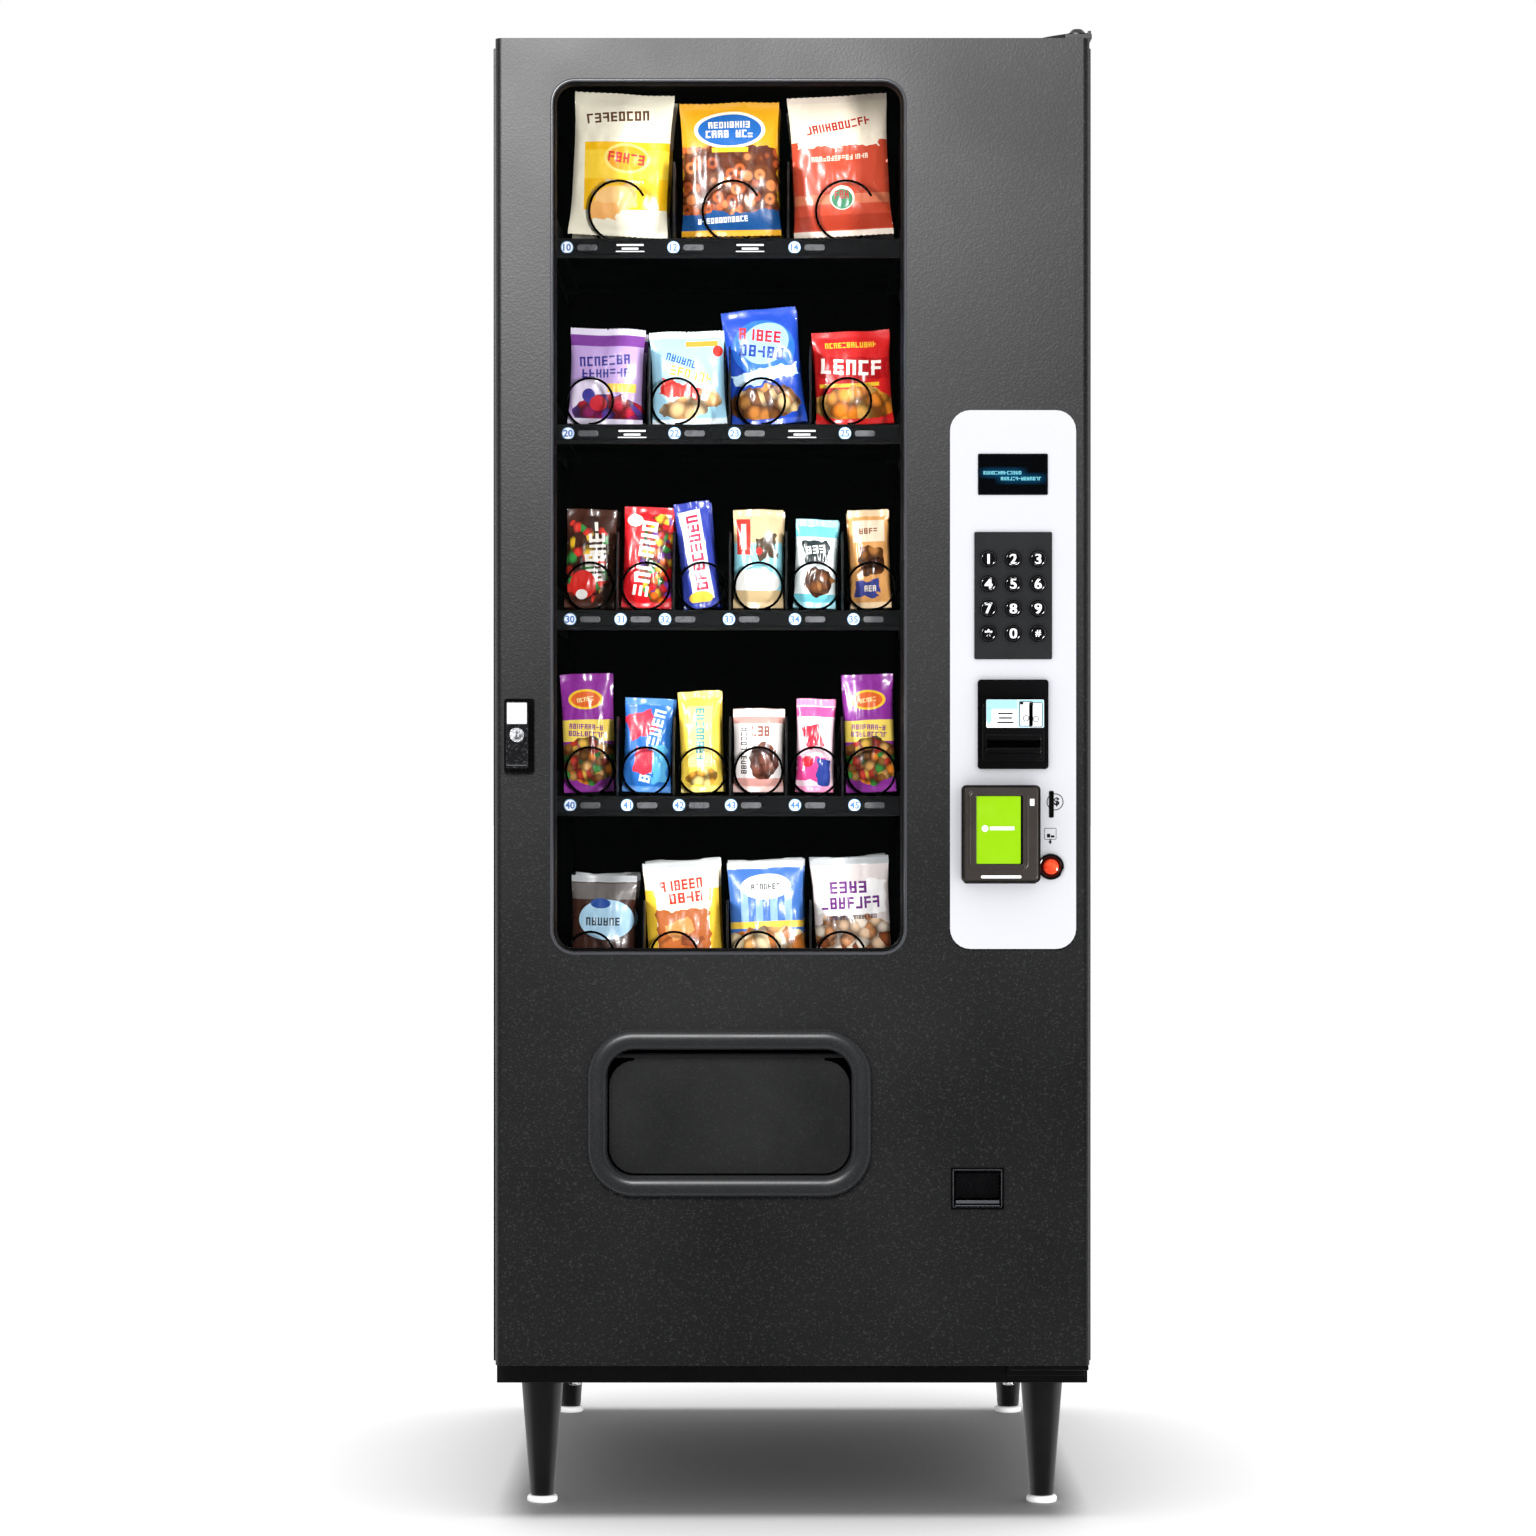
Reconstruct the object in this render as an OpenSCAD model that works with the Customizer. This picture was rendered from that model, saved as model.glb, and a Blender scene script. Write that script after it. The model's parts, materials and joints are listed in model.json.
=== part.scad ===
// Snack vending machine: steel cabinet on legs, hinged door with a display window,
// five product trays with spiral dispensers, a payment panel and a delivery hatch.
// +Z is up, the door faces -Y, and the origin is on the floor under the middle.

/* [Cabinet] */
// Width of the steel cabinet
cabinet_w = 750; // [740:1:760]
// Height of the cabinet's top above the floor
cabinet_top = 1832; // [1826:1:1840]
// Depth of the machine from the door's face to the back
machine_d = 889; // [860:1:900]
// Thickness of the sheet steel
sheet = 2.5; // [1.5:0.5:4]
// Height of the legs, up to the base frame
leg_h = 156; // [140:1:170]
// Height of the base frame
base_h = 28; // [20:1:32]
// Distance of each leg's centre from the middle
leg_x = 316; // [290:1:330]

/* [Door] */
// Width of the door
door_w = 735; // [720:1:740]
// Height of the door's bottom edge above the floor
door_bottom = 190; // [186:1:200]
// Height of the door's top edge above the floor
door_top = 1830; // [1820:1:1830]
// Thickness of the door
door_t = 78; // [70:1:90]
// Radius of the door's long vertical edges
door_r = 9; // [4:1:14]
// Radius of the hinge pins
hinge_pin_r = 8; // [6:0.5:9]

/* [Trays] */
// Height of the top tray's front rail
top_rail_z = 1586.5; // [1580:0.5:1595]
// Distance between one tray and the next
tray_pitch = 235.5; // [230:0.5:240]
// Depth of a tray from front to back
tray_d = 540; // [500:5:560]
// Height of the rail that carries the selection badges
rail_h = 25; // [20:1:30]
// Thickness of the spirals' wire
wire_d = 3.6; // [3:0.2:4]
// Number of packs modelled in each lane
packs_deep = 3; // [1:1:4]

/* [Payment panel] */
// Left edge of the panel
panel_x0 = 194.5; // [190:0.5:200]
// Right edge of the panel
panel_x1 = 350; // [345:0.5:355]
// Lower edge of the panel
panel_z0 = 705; // [700:1:710]
// Upper edge of the panel
panel_z1 = 1370; // [1365:1:1375]
// How far the card reader stands out from the door
reader_out = 34; // [20:1:40]
// Distance between two keys
key_pitch = 30.6; // [29:0.1:32]
// Radius of a key
key_r = 10.3; // [9.5:0.1:11]

/* [Hidden] */

// Planes and edges that the parts share
face_y = (reader_out - machine_d) / 2;
back_y = face_y + machine_d;
liner_y = face_y + door_t - sheet;
door_back = face_y + door_t;
cabinet_y = door_back + 6;
cab_x = cabinet_w / 2;
door_x = door_w / 2;
cab_z = leg_h + base_h;
flange_w = 20;
fit = 0.05;
gap = 0.3;

// Window opening in the door's face: left, right, bottom, top, corner radius
win = [-297, 139, 700, 1778, 28];
// Width of the step that the glass and its gasket sit in, outside the opening
win_step = 14;
// Width of the gasket that shows inside the opening
win_lip = 5.5;
glass_y = face_y + 12.5;
glass_t = 5;

// Product compartment, inside its liner
room_x0 = -312;
room_x1 = 154;
room_z0 = cab_z + 2 * sheet;
room_z1 = 1808;
room_y0 = cabinet_y + 24;
room_y1 = back_y - 60;

// Trays
tray_x0 = -301;
tray_x1 = 143;
tray_y = face_y + 130;
tray_sheet = 1.5;
wall_h = 34;
divider_h = 104;
divider_t = 2;
tip_y = tray_y + 8;
// Each tray: lanes, first spiral x, lane pitch, first divider x, divider pitch,
// spiral radius, spiral centre above the rail's middle, turn pitch, turns
trays = [
    [3, -222.4, 145.2, -149.7, 145.2, 36.9, 54.7, 60, 8],
    [4, -258, 109.5, -181.8, 102.8, 30.5, 44.2, 54, 9],
    [6, -257.9, 71.8, -221.8, 71.6, 30.5, 44.2, 44, 11],
    [6, -257.9, 71.8, -221.8, 71.6, 30.5, 44.2, 44, 11],
    [4, -256.7, 106.7, -188, 106, 30.5, 44.2, 60, 8]
];
// Each pack's width, height and half thickness, lane by lane
packs = [
    [[128, 184, 12], [128, 172, 12], [128, 182, 12]],
    [[96, 124, 9], [96, 120, 9], [96, 149, 9], [100, 121, 9]],
    [[64, 127, 7], [64, 130, 7], [46, 137, 7], [64, 127, 7], [54, 114, 7], [52, 127, 7]],
    [[64, 152, 7], [62, 121, 7], [54, 130, 7], [64, 108, 7], [48, 120, 7], [64, 152, 7]],
    [[84, 130, 10], [98, 147, 10], [98, 147, 10], [100, 152, 10]]
];

// Door hinge axis
hinge_x = 354.5;
hinge_y = door_back - 40;
// Delivery hatch: the bezel's outer and inner outlines
hatch = [-254, 97, 397.5, 604, 53];
hatch_in = [-229, 73, 424, 580.5, 33.5];
bezel_out = 12;
flap_y = face_y + 15;
flap_axis = [face_y + 16.5, 572];
bin_back = face_y + 190;
// Coin cup
cup = [198.5, 258, 386.5, 432];
cup_d = 56;
coin_axis = [face_y + 4.75, 427];
// Payment parts
display = [230, 314, 1266.5, 1315];
keypad = [224.3, 320.2, 1062.5, 1219.5];
key_x = 241.5;
key_z = 1186;
validator = [228.2, 315.6, 927, 1037.4];
reader = [207.5, 304.5, 787.7, 907.3];
return_at = [318.8, 806.5];
coin_slot = [317.5, 321.5, 868, 899];
// Lock
lock = [-356, -318.8, 922.5, 1014];
lock_at = [-339.6, 969];
cam_y = cabinet_y + 9;

KEYS = ["key_1", "key_2", "key_3", "key_4", "key_5", "key_6",
        "key_7", "key_8", "key_9", "key_star", "key_0", "key_hash"];

// ---- shapes ----

// Box between two corners
module block(a, b) {
    translate(a) cube(b - a);
}

// Points of a rounded rectangle, given as [left, right, bottom, top, radius]
function round_rect(e, n = 6) = [
    for (c = [[1, 1, 0], [0, 1, 90], [0, 0, 180], [1, 0, 270]])
        for (i = [0:n])
            [c[0] ? e[1] - e[4] : e[0] + e[4], c[1] ? e[3] - e[4] : e[2] + e[4]]
            + e[4] * [cos(c[2] + 90 * i / n), sin(c[2] + 90 * i / n)]
];

// The same outline, grown by d on every side
function grown(e, d) = [e[0] - d, e[1] + d, e[2] - d, e[3] + d, max(e[4] + d, 0.5)];

// Upright plate with a rounded-rectangle outline, from y0 back to y1
module slab(e, y0, y1) {
    translate([0, y1, 0]) rotate([90, 0, 0]) linear_extrude(y1 - y0) polygon(round_rect(e));
}

// Round bar along Y
module rod_y(at, r, y0, y1) {
    translate([at[0], y1, at[1]]) rotate([90, 0, 0]) cylinder(r = r, h = y1 - y0, $fn = 48);
}

// Round bar along X, at [y, z]
module rod_x(at, r, x0, x1) {
    translate([x0, at[0], at[1]]) rotate([0, 90, 0]) cylinder(r = r, h = x1 - x0, $fn = 48);
}

// Tapered disc along Y, r0 at y0 and r1 at y1
module cone_y(at, r0, r1, y0, y1) {
    translate([at[0], y1, at[1]]) rotate([90, 0, 0]) cylinder(r1 = r1, r2 = r0, h = y1 - y0, $fn = 48);
}

// Square-cornered outline as [left, right, bottom, top], from y0 back to y1
module plain(e, y0, y1) {
    block([e[0], y0, e[2]], [e[1], y1, e[3]]);
}

function rail_z(t) = top_rail_z - tray_pitch * t;
function floor_z(t) = rail_z(t) + 10;
function spiral_x(t, i) = trays[t][1] + trays[t][2] * i;
function spiral_z(t) = rail_z(t) + trays[t][6];
function lane_edge(t, i) =
    i == 0 ? tray_x0 + 4 : i == trays[t][0] ? tray_x1 - 4 : trays[t][3] + trays[t][4] * (i - 1);
function lane_x(t, i) = (lane_edge(t, i) + lane_edge(t, i + 1)) / 2;

// ---- cabinet ----

// Steel box, open in front inside a turned-in flange
module cabinet_shell() color("#26272a") difference() {
    block([-cab_x, cabinet_y, cab_z], [cab_x, back_y, cabinet_top]);
    block([-cab_x + sheet, cabinet_y + sheet, cab_z + sheet], [cab_x - sheet, back_y - sheet, cabinet_top - sheet]);
    block([-cab_x + flange_w, cabinet_y - 1, cab_z + 24], [cab_x - 45, cabinet_y + sheet + 1, cabinet_top - 24]);
    block([236, back_y - 10, 246], [284, back_y + 1, 274]);
}

// Inner box of the product compartment, open to the front
module product_liner() color("#141415") difference() {
    block([room_x0 - sheet, room_y0, room_z0 - sheet], [room_x1 + sheet, room_y1 + sheet, room_z1 + sheet]);
    block([room_x0, room_y0 - 1, room_z0], [room_x1, room_y1, room_z1]);
}

module base_frame() color("#161617") difference() {
    block([-cab_x + 4, cabinet_y + 2, leg_h], [cab_x - 4, back_y - 3, cab_z]);
    block([-cab_x + 76, cabinet_y + 74, leg_h - 1], [cab_x - 76, back_y - 75, cab_z + 1]);
    difference() {
        block([-cab_x + 7, cabinet_y + 5, leg_h + 3], [cab_x - 7, back_y - 6, cab_z + 1]);
        block([-cab_x + 73, cabinet_y + 71, leg_h + 2], [cab_x - 73, back_y - 72, cab_z + 2]);
    }
}

// Calls its children at each of the four legs
module at_legs() {
    for (x = [-leg_x, leg_x])
        for (y = [cabinet_y + 43, back_y - 46])
            translate([x, y, 0]) children();
}

module legs() color("#1b1b1d") at_legs() {
    translate([0, 0, 9]) cylinder(r1 = 15.2, r2 = 26.3, h = leg_h - 9, $fn = 64);
}

module leg_glides() color("#e8e8ea") at_legs() {
    cylinder(r1 = 17.5, r2 = 19.2, h = 3, $fn = 64);
    translate([0, 0, 3]) cylinder(r = 19.2, h = 4, $fn = 64);
    translate([0, 0, 7]) cylinder(r1 = 19.2, r2 = 14, h = 2, $fn = 64);
}

// Hex-head bolts: two beside each leg, and three on the top hinge plate
module hex_bolts() color("#c9cbce") {
    for (x = [-leg_x + 42, leg_x - 42])
        for (y = [cabinet_y + 30, cabinet_y + 58, back_y - 60, back_y - 32])
            translate([x, y, leg_h - 6.5]) cylinder(r = 8, h = 6.5, $fn = 6);
    for (x = [272, 308, 344])
        translate([x, cabinet_y + 60, cabinet_top + 6]) cylinder(r = 7, h = 5, $fn = 6);
}

// Plate outline of a door hinge, in plan
hinge_plan = [
    [cab_x - 4, hinge_y - 22], [hinge_x - 16, hinge_y - 22], [hinge_x - 32, hinge_y - 8],
    [252, cabinet_y + 30], [252, cabinet_y + 80], [cab_x - 4, cabinet_y + 80]
];

module hinge_plates() color("#1d1d1f") {
    union() {
        translate([0, 0, cabinet_top]) linear_extrude(6) polygon(hinge_plan);
        translate([hinge_x, hinge_y, door_top - 34]) cylinder(r = hinge_pin_r, h = 42, $fn = 48);
        translate([hinge_x, hinge_y, cabinet_top + 5]) cylinder(r = 15, h = 4, $fn = 48);
        translate([hinge_x, hinge_y, cabinet_top + 9]) cylinder(r1 = 12, r2 = 6, h = 6, $fn = 48);
        block([cab_x - 8, hinge_y - 10, cabinet_top + 5], [cab_x - 4, cabinet_y + 80, cabinet_top + 12]);
    }
    union() {
        block([270, hinge_y - 22, door_bottom - 8], [cab_x - 8, cabinet_y, door_bottom - 2]);
        translate([hinge_x, hinge_y, door_bottom - 3]) cylinder(r = hinge_pin_r, h = 34, $fn = 48);
        block([270, cabinet_y - 4, door_bottom - 24], [cab_x - 8, cabinet_y + 2, cab_z]);
    }
}

// ---- trays ----

module tray_pans() color("#1a1a1c") for (t = [0:4]) {
    z = floor_z(t);
    back = tray_y + tray_d;
    difference() {
        block([tray_x0, tray_y, z - tray_sheet], [tray_x1, back, z + 88]);
        block([tray_x0 + tray_sheet, tray_y - 1, z], [tray_x1 - tray_sheet, back - tray_sheet, z + 89]);
        block([tray_x0 - 1, tray_y - 1, z + wall_h], [tray_x1 + 1, back - tray_sheet, z + 89]);
        for (i = [0:trays[t][0] - 1])
            rod_y([spiral_x(t, i), spiral_z(t)], 6, back - 3, back + 1);
    }
}

// Upright plates between the lanes, with sloping front edges
module tray_dividers() color("#2a2a2c") for (t = [0:4])
    for (i = [1:trays[t][0] - 1]) {
        z = floor_z(t);
        translate([lane_edge(t, i) - divider_t / 2, 0, 0]) rotate([90, 0, 90])
            linear_extrude(divider_t) polygon([
                [tray_y + 4, z], [tray_y + tray_d - 10, z], [tray_y + tray_d - 10, z + 60],
                [tray_y + 90, z + divider_h], [tray_y + 26, z + divider_h], [tray_y + 4, z + 40]
            ]);
    }

// Front rails with a round badge and a grey tab for each lane
module selection_rails() color("#202022") for (t = [0:4])
    block([tray_x0, tray_y - 4, rail_z(t) - rail_h / 2], [tray_x1, tray_y, rail_z(t) + rail_h / 2]);

// Angle rails that carry the trays on the liner's side walls
module tray_runners() color("#8d9094") for (t = [0:4]) for (s = [0, 1]) {
    x = s ? tray_x1 : room_x0;
    w = s ? room_x1 - tray_x1 : tray_x0 - room_x0;
    z = floor_z(t) - tray_sheet;
    block([x + (s ? w - 2 : 0), tray_y + 20, z - 16], [x + (s ? w : 2), tray_y + tray_d, z + 14]);
    block([s ? x - 8 : x + 2, tray_y + 20, z - 3], [s ? x + w - 2 : tray_x0 + 8, tray_y + tray_d, z]);
}

// Gear motor behind each spiral, with its output shaft through the tray's back
module spiral_motors() color("#3a3d42") for (t = [0:4]) for (i = [0:trays[t][0] - 1]) {
    at = [spiral_x(t, i), spiral_z(t)];
    y = tray_y + tray_d;
    block([at[0] - 21, y, at[1] - 26], [at[0] + 21, y + 40, at[1] + 30]);
    rod_y(at, 4, y - 14, y + 1);
}

// Wire spiral: counted from the bottom in front, it winds back to its hub. The first steps
// are left off where the front end stands higher up
module spiral(t, i, steps, first = 0) {
    r = trays[t][5];
    pitch = trays[t][7];
    n = trays[t][8] * steps;
    end = 3 * (n - first);
    end_y = tip_y + pitch * trays[t][8];
    hub_y = tray_y + tray_d - 5;
    points = [
        for (s = [first:n]) for (k = [0:2])
            let (a = 360 * s / steps, d = r + wire_d / 2 * cos(120 * k))
            [d * sin(a), tip_y + pitch * s / steps + wire_d / 2 * sin(120 * k), -d * cos(a)]
    ];
    sides = [
        for (s = [0:n - first - 1]) for (k = [0:2])
            let (a = 3 * s + k, b = 3 * s + (k + 1) % 3)
            each [[a, a + 3, b + 3], [a, b + 3, b]]
    ];
    translate([spiral_x(t, i), 0, spiral_z(t)]) {
        union() {
            polyhedron(points, concat([[0, 1, 2]], sides, [[end + 2, end + 1, end]]));
            block([-wire_d / 2 - 0.5, end_y - 2.2, -r - 1], [wire_d / 2 + 0.5, end_y + 2.2, 0]);
            difference() {
                rod_y([0, 0], 9, end_y - 2.2, hub_y);
                rod_y([0, 0], 4 + fit, hub_y - 12, hub_y + 1);
            }
        }
    }
}

module fixed_spirals() color("#111112") for (t = [1:4])
    for (i = [0:trays[t][0] - 1])
        spiral(t, i, 7);

// Sealed pack, crimped thin at top and bottom, standing on its spiral's turn
module pack(t, i, k) {
    p = packs[t][i];
    z = t == 0 ? floor_z(t) + 14 : floor_z(t) + 7;
    y = tip_y + trays[t][7] * (k + 1);
    h = p[1];
    d = p[2];
    translate([lane_x(t, i) - p[0] / 2, y, z]) rotate([90, 0, 90]) linear_extrude(p[0])
        polygon([
            [-0.8, 0], [0.8, 0], [0.8, 8], [d * 0.7, h * 0.28], [d, h * 0.45], [d * 0.7, h * 0.8],
            [0.8, h - 9], [0.8, h], [-0.8, h], [-0.8, h - 9], [-d * 0.7, h * 0.8], [-d, h * 0.45],
            [-d * 0.7, h * 0.28], [-0.8, 8]
        ]);
}

module fixed_packs() color("#c98f3c") for (t = [1:4])
    for (i = [0:trays[t][0] - 1])
        for (k = [0:packs_deep - 1])
            pack(t, i, k);

module pack_row(i) color("#d8c25a") for (k = [0:packs_deep - 1]) pack(0, i, k);

// ---- inside the cabinet's service bay ----

module latch_strike() color("#9a9da1") union() {
    block([-cab_x + sheet, cabinet_y + sheet, lock_at[1] - 40], [-cab_x + 5, cabinet_y + 40, lock_at[1] + 40]);
    block([-cab_x + 4, cabinet_y + sheet, lock_at[1] - 40], [-cab_x + flange_w, cabinet_y + sheet + 3, lock_at[1] + 40]);
}

module cash_box() color("#6d7074") difference() {
    block([190, cabinet_y + 40, cab_z + sheet], [330, cabinet_y + 240, cab_z + 120]);
    block([192, cabinet_y + 42, cab_z + sheet + 2], [328, cabinet_y + 238, cab_z + 118]);
    block([230, cabinet_y + 60, cab_z + 110], [290, cabinet_y + 110, cab_z + 121]);
}

module control_box() color("#7b8087")
    block([cab_x - sheet - 50, 60, 1240], [cab_x - sheet, 300, 1560]);

module power_inlet() color("#101010") difference() {
    union() {
        block([236.3, back_y - 24, 246.3], [283.7, back_y, 273.7]);
        block([228, back_y, 240], [292, back_y + 2, 280]);
    }
    block([246, back_y - 16, 251], [274, back_y + 3, 269]);
}

// ---- door ----

module door_shell() color("#2a2b2e") difference() {
    union() {
        difference() {
            translate([0, 0, door_bottom]) linear_extrude(door_top - door_bottom) polygon(door_plan(0));
            translate([0, 0, door_bottom + sheet]) linear_extrude(door_top - door_bottom - 2 * sheet)
                polygon(door_plan(sheet));
        }
        slab(grown(win, win_step + sheet), face_y + sheet / 2, liner_y);
        for (z = [door_bottom + 1, door_top - 31])
            block([hinge_x - 14, hinge_y - 14, z], [door_x - 1.5, hinge_y + 14, z + 30]);
    }
    slab(win, face_y - 1, liner_y + 1);
    slab(grown(win, win_step), face_y + sheet, liner_y + 1);
    slab(grown(hatch_in, 3.3), face_y - 1, face_y + 6);
    plain([cup[0] - 0.3, cup[1] + 0.3, cup[2] - 0.3, cup[3] + 0.3], face_y - 1, face_y + 6);
    plain([panel_x0 + 12, panel_x1 - 12, panel_z0 + 12, panel_z1 - 12], face_y - 1, face_y + 6);
    plain([lock[0] + 4, lock[1] - 4, lock[2] + 12, lock[3] - 12], face_y - 1, face_y + 6);
    for (z = [door_bottom - 1, door_top - 40])
        translate([hinge_x, hinge_y, z]) cylinder(r = hinge_pin_r + fit, h = 41, $fn = 48);
}

// Door outline in plan, inset by d, with rounded front corners and an open back
function door_plan(d) = concat(
    [[door_x - d, d ? liner_y + 1 : liner_y], [-door_x + d, d ? liner_y + 1 : liner_y]],
    [for (i = [0:6]) [-door_x + door_r, face_y + door_r]
        + (door_r - d) * [cos(180 + 15 * i), sin(180 + 15 * i)]],
    [for (i = [0:6]) [door_x - door_r, face_y + door_r]
        + (door_r - d) * [cos(270 + 15 * i), sin(270 + 15 * i)]]
);

// Sheet that closes the door's back
module door_liner() color("#3a3b3e") difference() {
    plain([-door_x, door_x, door_bottom, door_top], liner_y, door_back);
    slab(grown(win, win_step), liner_y - 1, door_back + 1);
    plain([hatch[0] - 10, hatch[1] + 9, hatch[2] - 14, hatch[3] + 2], liner_y - 1, door_back + 1);
    plain([238, 306, 935, 1030], liner_y - 1, door_back + 1);
    rod_y(lock_at, 8, liner_y - 1, door_back + 1);
}

module window_glass() color("#9fb4bd", 0.3)
    slab(grown(win, win_step - gap), glass_y, glass_y + glass_t);

module window_gasket() color("#0c0c0d") difference() {
    slab(grown(win, win_step - gap), face_y + sheet, glass_y);
    slab(grown(win, -win_lip), face_y + sheet - 1, glass_y + 1);
}

// Lamp above the window, behind the door's liner
module window_light() color("#dfe6ea") union() {
    block([-290, door_back, win[3] + win_step + 2], [132, door_back + 5, win[3] + win_step + 22]);
    block([-286, door_back + 4, win[3] + win_step + 2], [128, door_back + 14, win[3] + win_step + 10]);
}

// Soft seal between the door and the cabinet, cut as four strips
module door_gasket() color("#0e0e0f") {
    for (z = [door_bottom + 3, door_top - 14])
        plain([-door_x + 1, 344, z, z + 11], door_back, door_back + 5);
    for (x = [-door_x + 1, 333])
        plain([x, x + 11, door_bottom + 14.2, door_top - 14.2], door_back, door_back + 5);
}

module delivery_bezel() color("#232426") difference() {
    union() {
        slab(hatch, face_y - bezel_out + 4, face_y);
        slab(grown(hatch, -5), face_y - bezel_out, face_y - bezel_out + 5);
        slab(grown(hatch_in, 3), face_y - 1, face_y + 27);
    }
    slab(hatch_in, face_y - bezel_out - 1, face_y + 28);
    rod_x(flap_axis, 3 + fit, hatch_in[0], hatch_in[1]);
}

// Trough behind the hatch that catches what drops from the trays
module delivery_bin() color("#2b2c2f") difference() {
    plain([hatch[0] - 6, hatch[1] + 5, hatch[2] - 10, hatch[3] - 4], face_y + 27, bin_back);
    block([hatch[0] - 4, face_y + 29, hatch[2] - 8], [hatch[1] + 3, bin_back - 2, hatch[3] + 1]);
    slab(hatch_in, face_y + 20, face_y + 30);
}

module delivery_flap() color("#202123") union() {
    slab([hatch_in[0] + 2, hatch_in[1] - 2, hatch_in[2] + 2, 566, 32], flap_y, flap_y + 3);
    plain([-196, 40, 560, flap_axis[1]], flap_y, flap_y + 3);
    rod_x(flap_axis, 3, hatch_in[0] + 9, hatch_in[1] - 9);
}

// Pocket where change and returned coins land
module coin_cup() color("#1c1c1e") difference() {
    union() {
        plain([cup[0], cup[1], cup[2], cup[3]], face_y, face_y + cup_d);
        plain([cup[0] - 3, cup[1] + 3, cup[2] - 3, cup[3] + 3], face_y - 1.5, face_y);
        plain([cup[0] + 2, cup[1] - 2, cup[2], cup[2] + 9], face_y - 5, face_y + 3);
    }
    plain([cup[0] + 2, cup[1] - 2, cup[2] + 2, cup[3] - 2], face_y + 2, face_y + cup_d - 2);
    plain([cup[0] + 2, cup[1] - 2, cup[2] + 9, cup[3] - 2], face_y - 6, face_y + 10);
    block([cup[0] + 10, face_y + 24, cup[3] - 3], [cup[1] - 10, face_y + 50, cup[3] + 1]);
    rod_x(coin_axis, 1.5 + fit, cup[0] - 1, cup[1] + 1);
}

module coin_flap() color("#17181a") union() {
    plain([cup[0] + 3, cup[1] - 3, cup[2] + 10.5, coin_axis[1]], face_y + 4, face_y + 5.5);
    rod_x(coin_axis, 1.5, cup[0] + 0.3, cup[1] - 0.3);
}

module control_panel() color("#e9ecf2") difference() {
    slab([panel_x0, panel_x1, panel_z0, panel_z1, 25], face_y - 3, face_y);
    for (e = [display, keypad]) plain([e[0] + 2, e[1] - 2, e[2] + 2, e[3] - 2], face_y - 4, face_y + 1);
    plain([validator[0] + 6, validator[1] - 6, validator[2] + 6, validator[3] - 6], face_y - 4, face_y + 1);
    plain([reader[0] + 20, reader[1] - 20, reader[2] + 30, reader[3] - 30], face_y - 4, face_y + 1);
    plain(coin_slot, face_y - 4, face_y + 1);
    rod_y(return_at, 13, face_y - 4, face_y + 1);
}

module display_lens() color("#06080a") union() {
    plain(display, face_y - 4.5, face_y - 3);
    plain([display[0] + 2.3, display[1] - 2.3, display[2] + 2.3, display[3] - 2.3], face_y - 3.1, face_y + 8);
}

function key_at(n) = [key_x + key_pitch * (n % 3), key_z - key_pitch * floor(n / 3)];

module keypad_plate() color("#2c2d30") difference() {
    union() {
        slab([keypad[0], keypad[1], keypad[2], keypad[3], 2], face_y - 5.5, face_y - 3);
        plain([keypad[0] + 2.3, keypad[1] - 2.3, keypad[2] + 2.3, keypad[3] - 2.3], face_y - 3.1, face_y + 8);
        for (n = [0:11]) rod_y(key_at(n), key_r + 1.9, face_y - 7, face_y - 5.4);
    }
    for (n = [0:11]) {
        rod_y(key_at(n), key_r + gap, face_y - 8, face_y + 9);
        rod_y(key_at(n), key_r + 1.6, face_y - 1, face_y + 9);
    }
}

// Domed push key with a collar that keeps it in the plate
module key(n) color("#0d0d0f") union() {
    cone_y(key_at(n), key_r - 2.6, key_r, face_y - 11, face_y - 9);
    rod_y(key_at(n), key_r, face_y - 9, face_y + 2);
    rod_y(key_at(n), key_r + 1.2, face_y - 0.6, face_y + 2);
}

module bill_validator() color("#111113") difference() {
    union() {
        slab([validator[0], validator[1], validator[2], validator[3], 4], face_y - 9, face_y - 3);
        slab([validator[0] + 6, validator[1] - 6, validator[2] + 10, validator[3] - 30, 3], face_y - 15, face_y - 8);
        plain([validator[0] + 6.3, validator[1] - 6.3, validator[2] + 6.3, validator[3] - 6.3], face_y - 4, face_y + 6);
        plain([240, 304, 937, 1028], face_y + 5, face_y + 130);
    }
    plain([239, 305, 953.5, 962.5], face_y - 16, face_y + 8);
    plain([242, 302, 955, 961], face_y + 7, face_y + 100);
}

module card_reader_mount() color("#0f0f10")
    slab([reader[0] + 3, reader[1] - 2.5, reader[2] - 2, reader[3] - 4, 4], face_y - 10, face_y - 3);

module card_reader() color("#4b4641") difference() {
    union() {
        slab([reader[0], reader[1], reader[2], reader[3], 6], face_y - 28, face_y - 10);
        slab([reader[0] + 4, reader[1] - 4, reader[2] + 4, reader[3] - 3, 4], face_y - reader_out, face_y - 27);
    }
    slab([225.5, 282.5, 810, 894.5, 2], face_y - reader_out - 1, face_y - reader_out + 2.5);
}

module coin_return_ring() color("#101011") difference() {
    rod_y(return_at, 16.2, face_y - 7.5, face_y - 3);
    rod_y(return_at, 9.4 + gap, face_y - 8, face_y - 2);
    cone_y(return_at, 13, 9.4 + gap, face_y - 7.6, face_y - 4.5);
}

module coin_return_button() color("#d8412a") union() {
    cone_y(return_at, 7.4, 9.4, face_y - 9.5, face_y - 8);
    rod_y(return_at, 9.4, face_y - 8, face_y);
    rod_y(return_at, 11.5, face_y - 1.5, face_y + 4);
}

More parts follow.
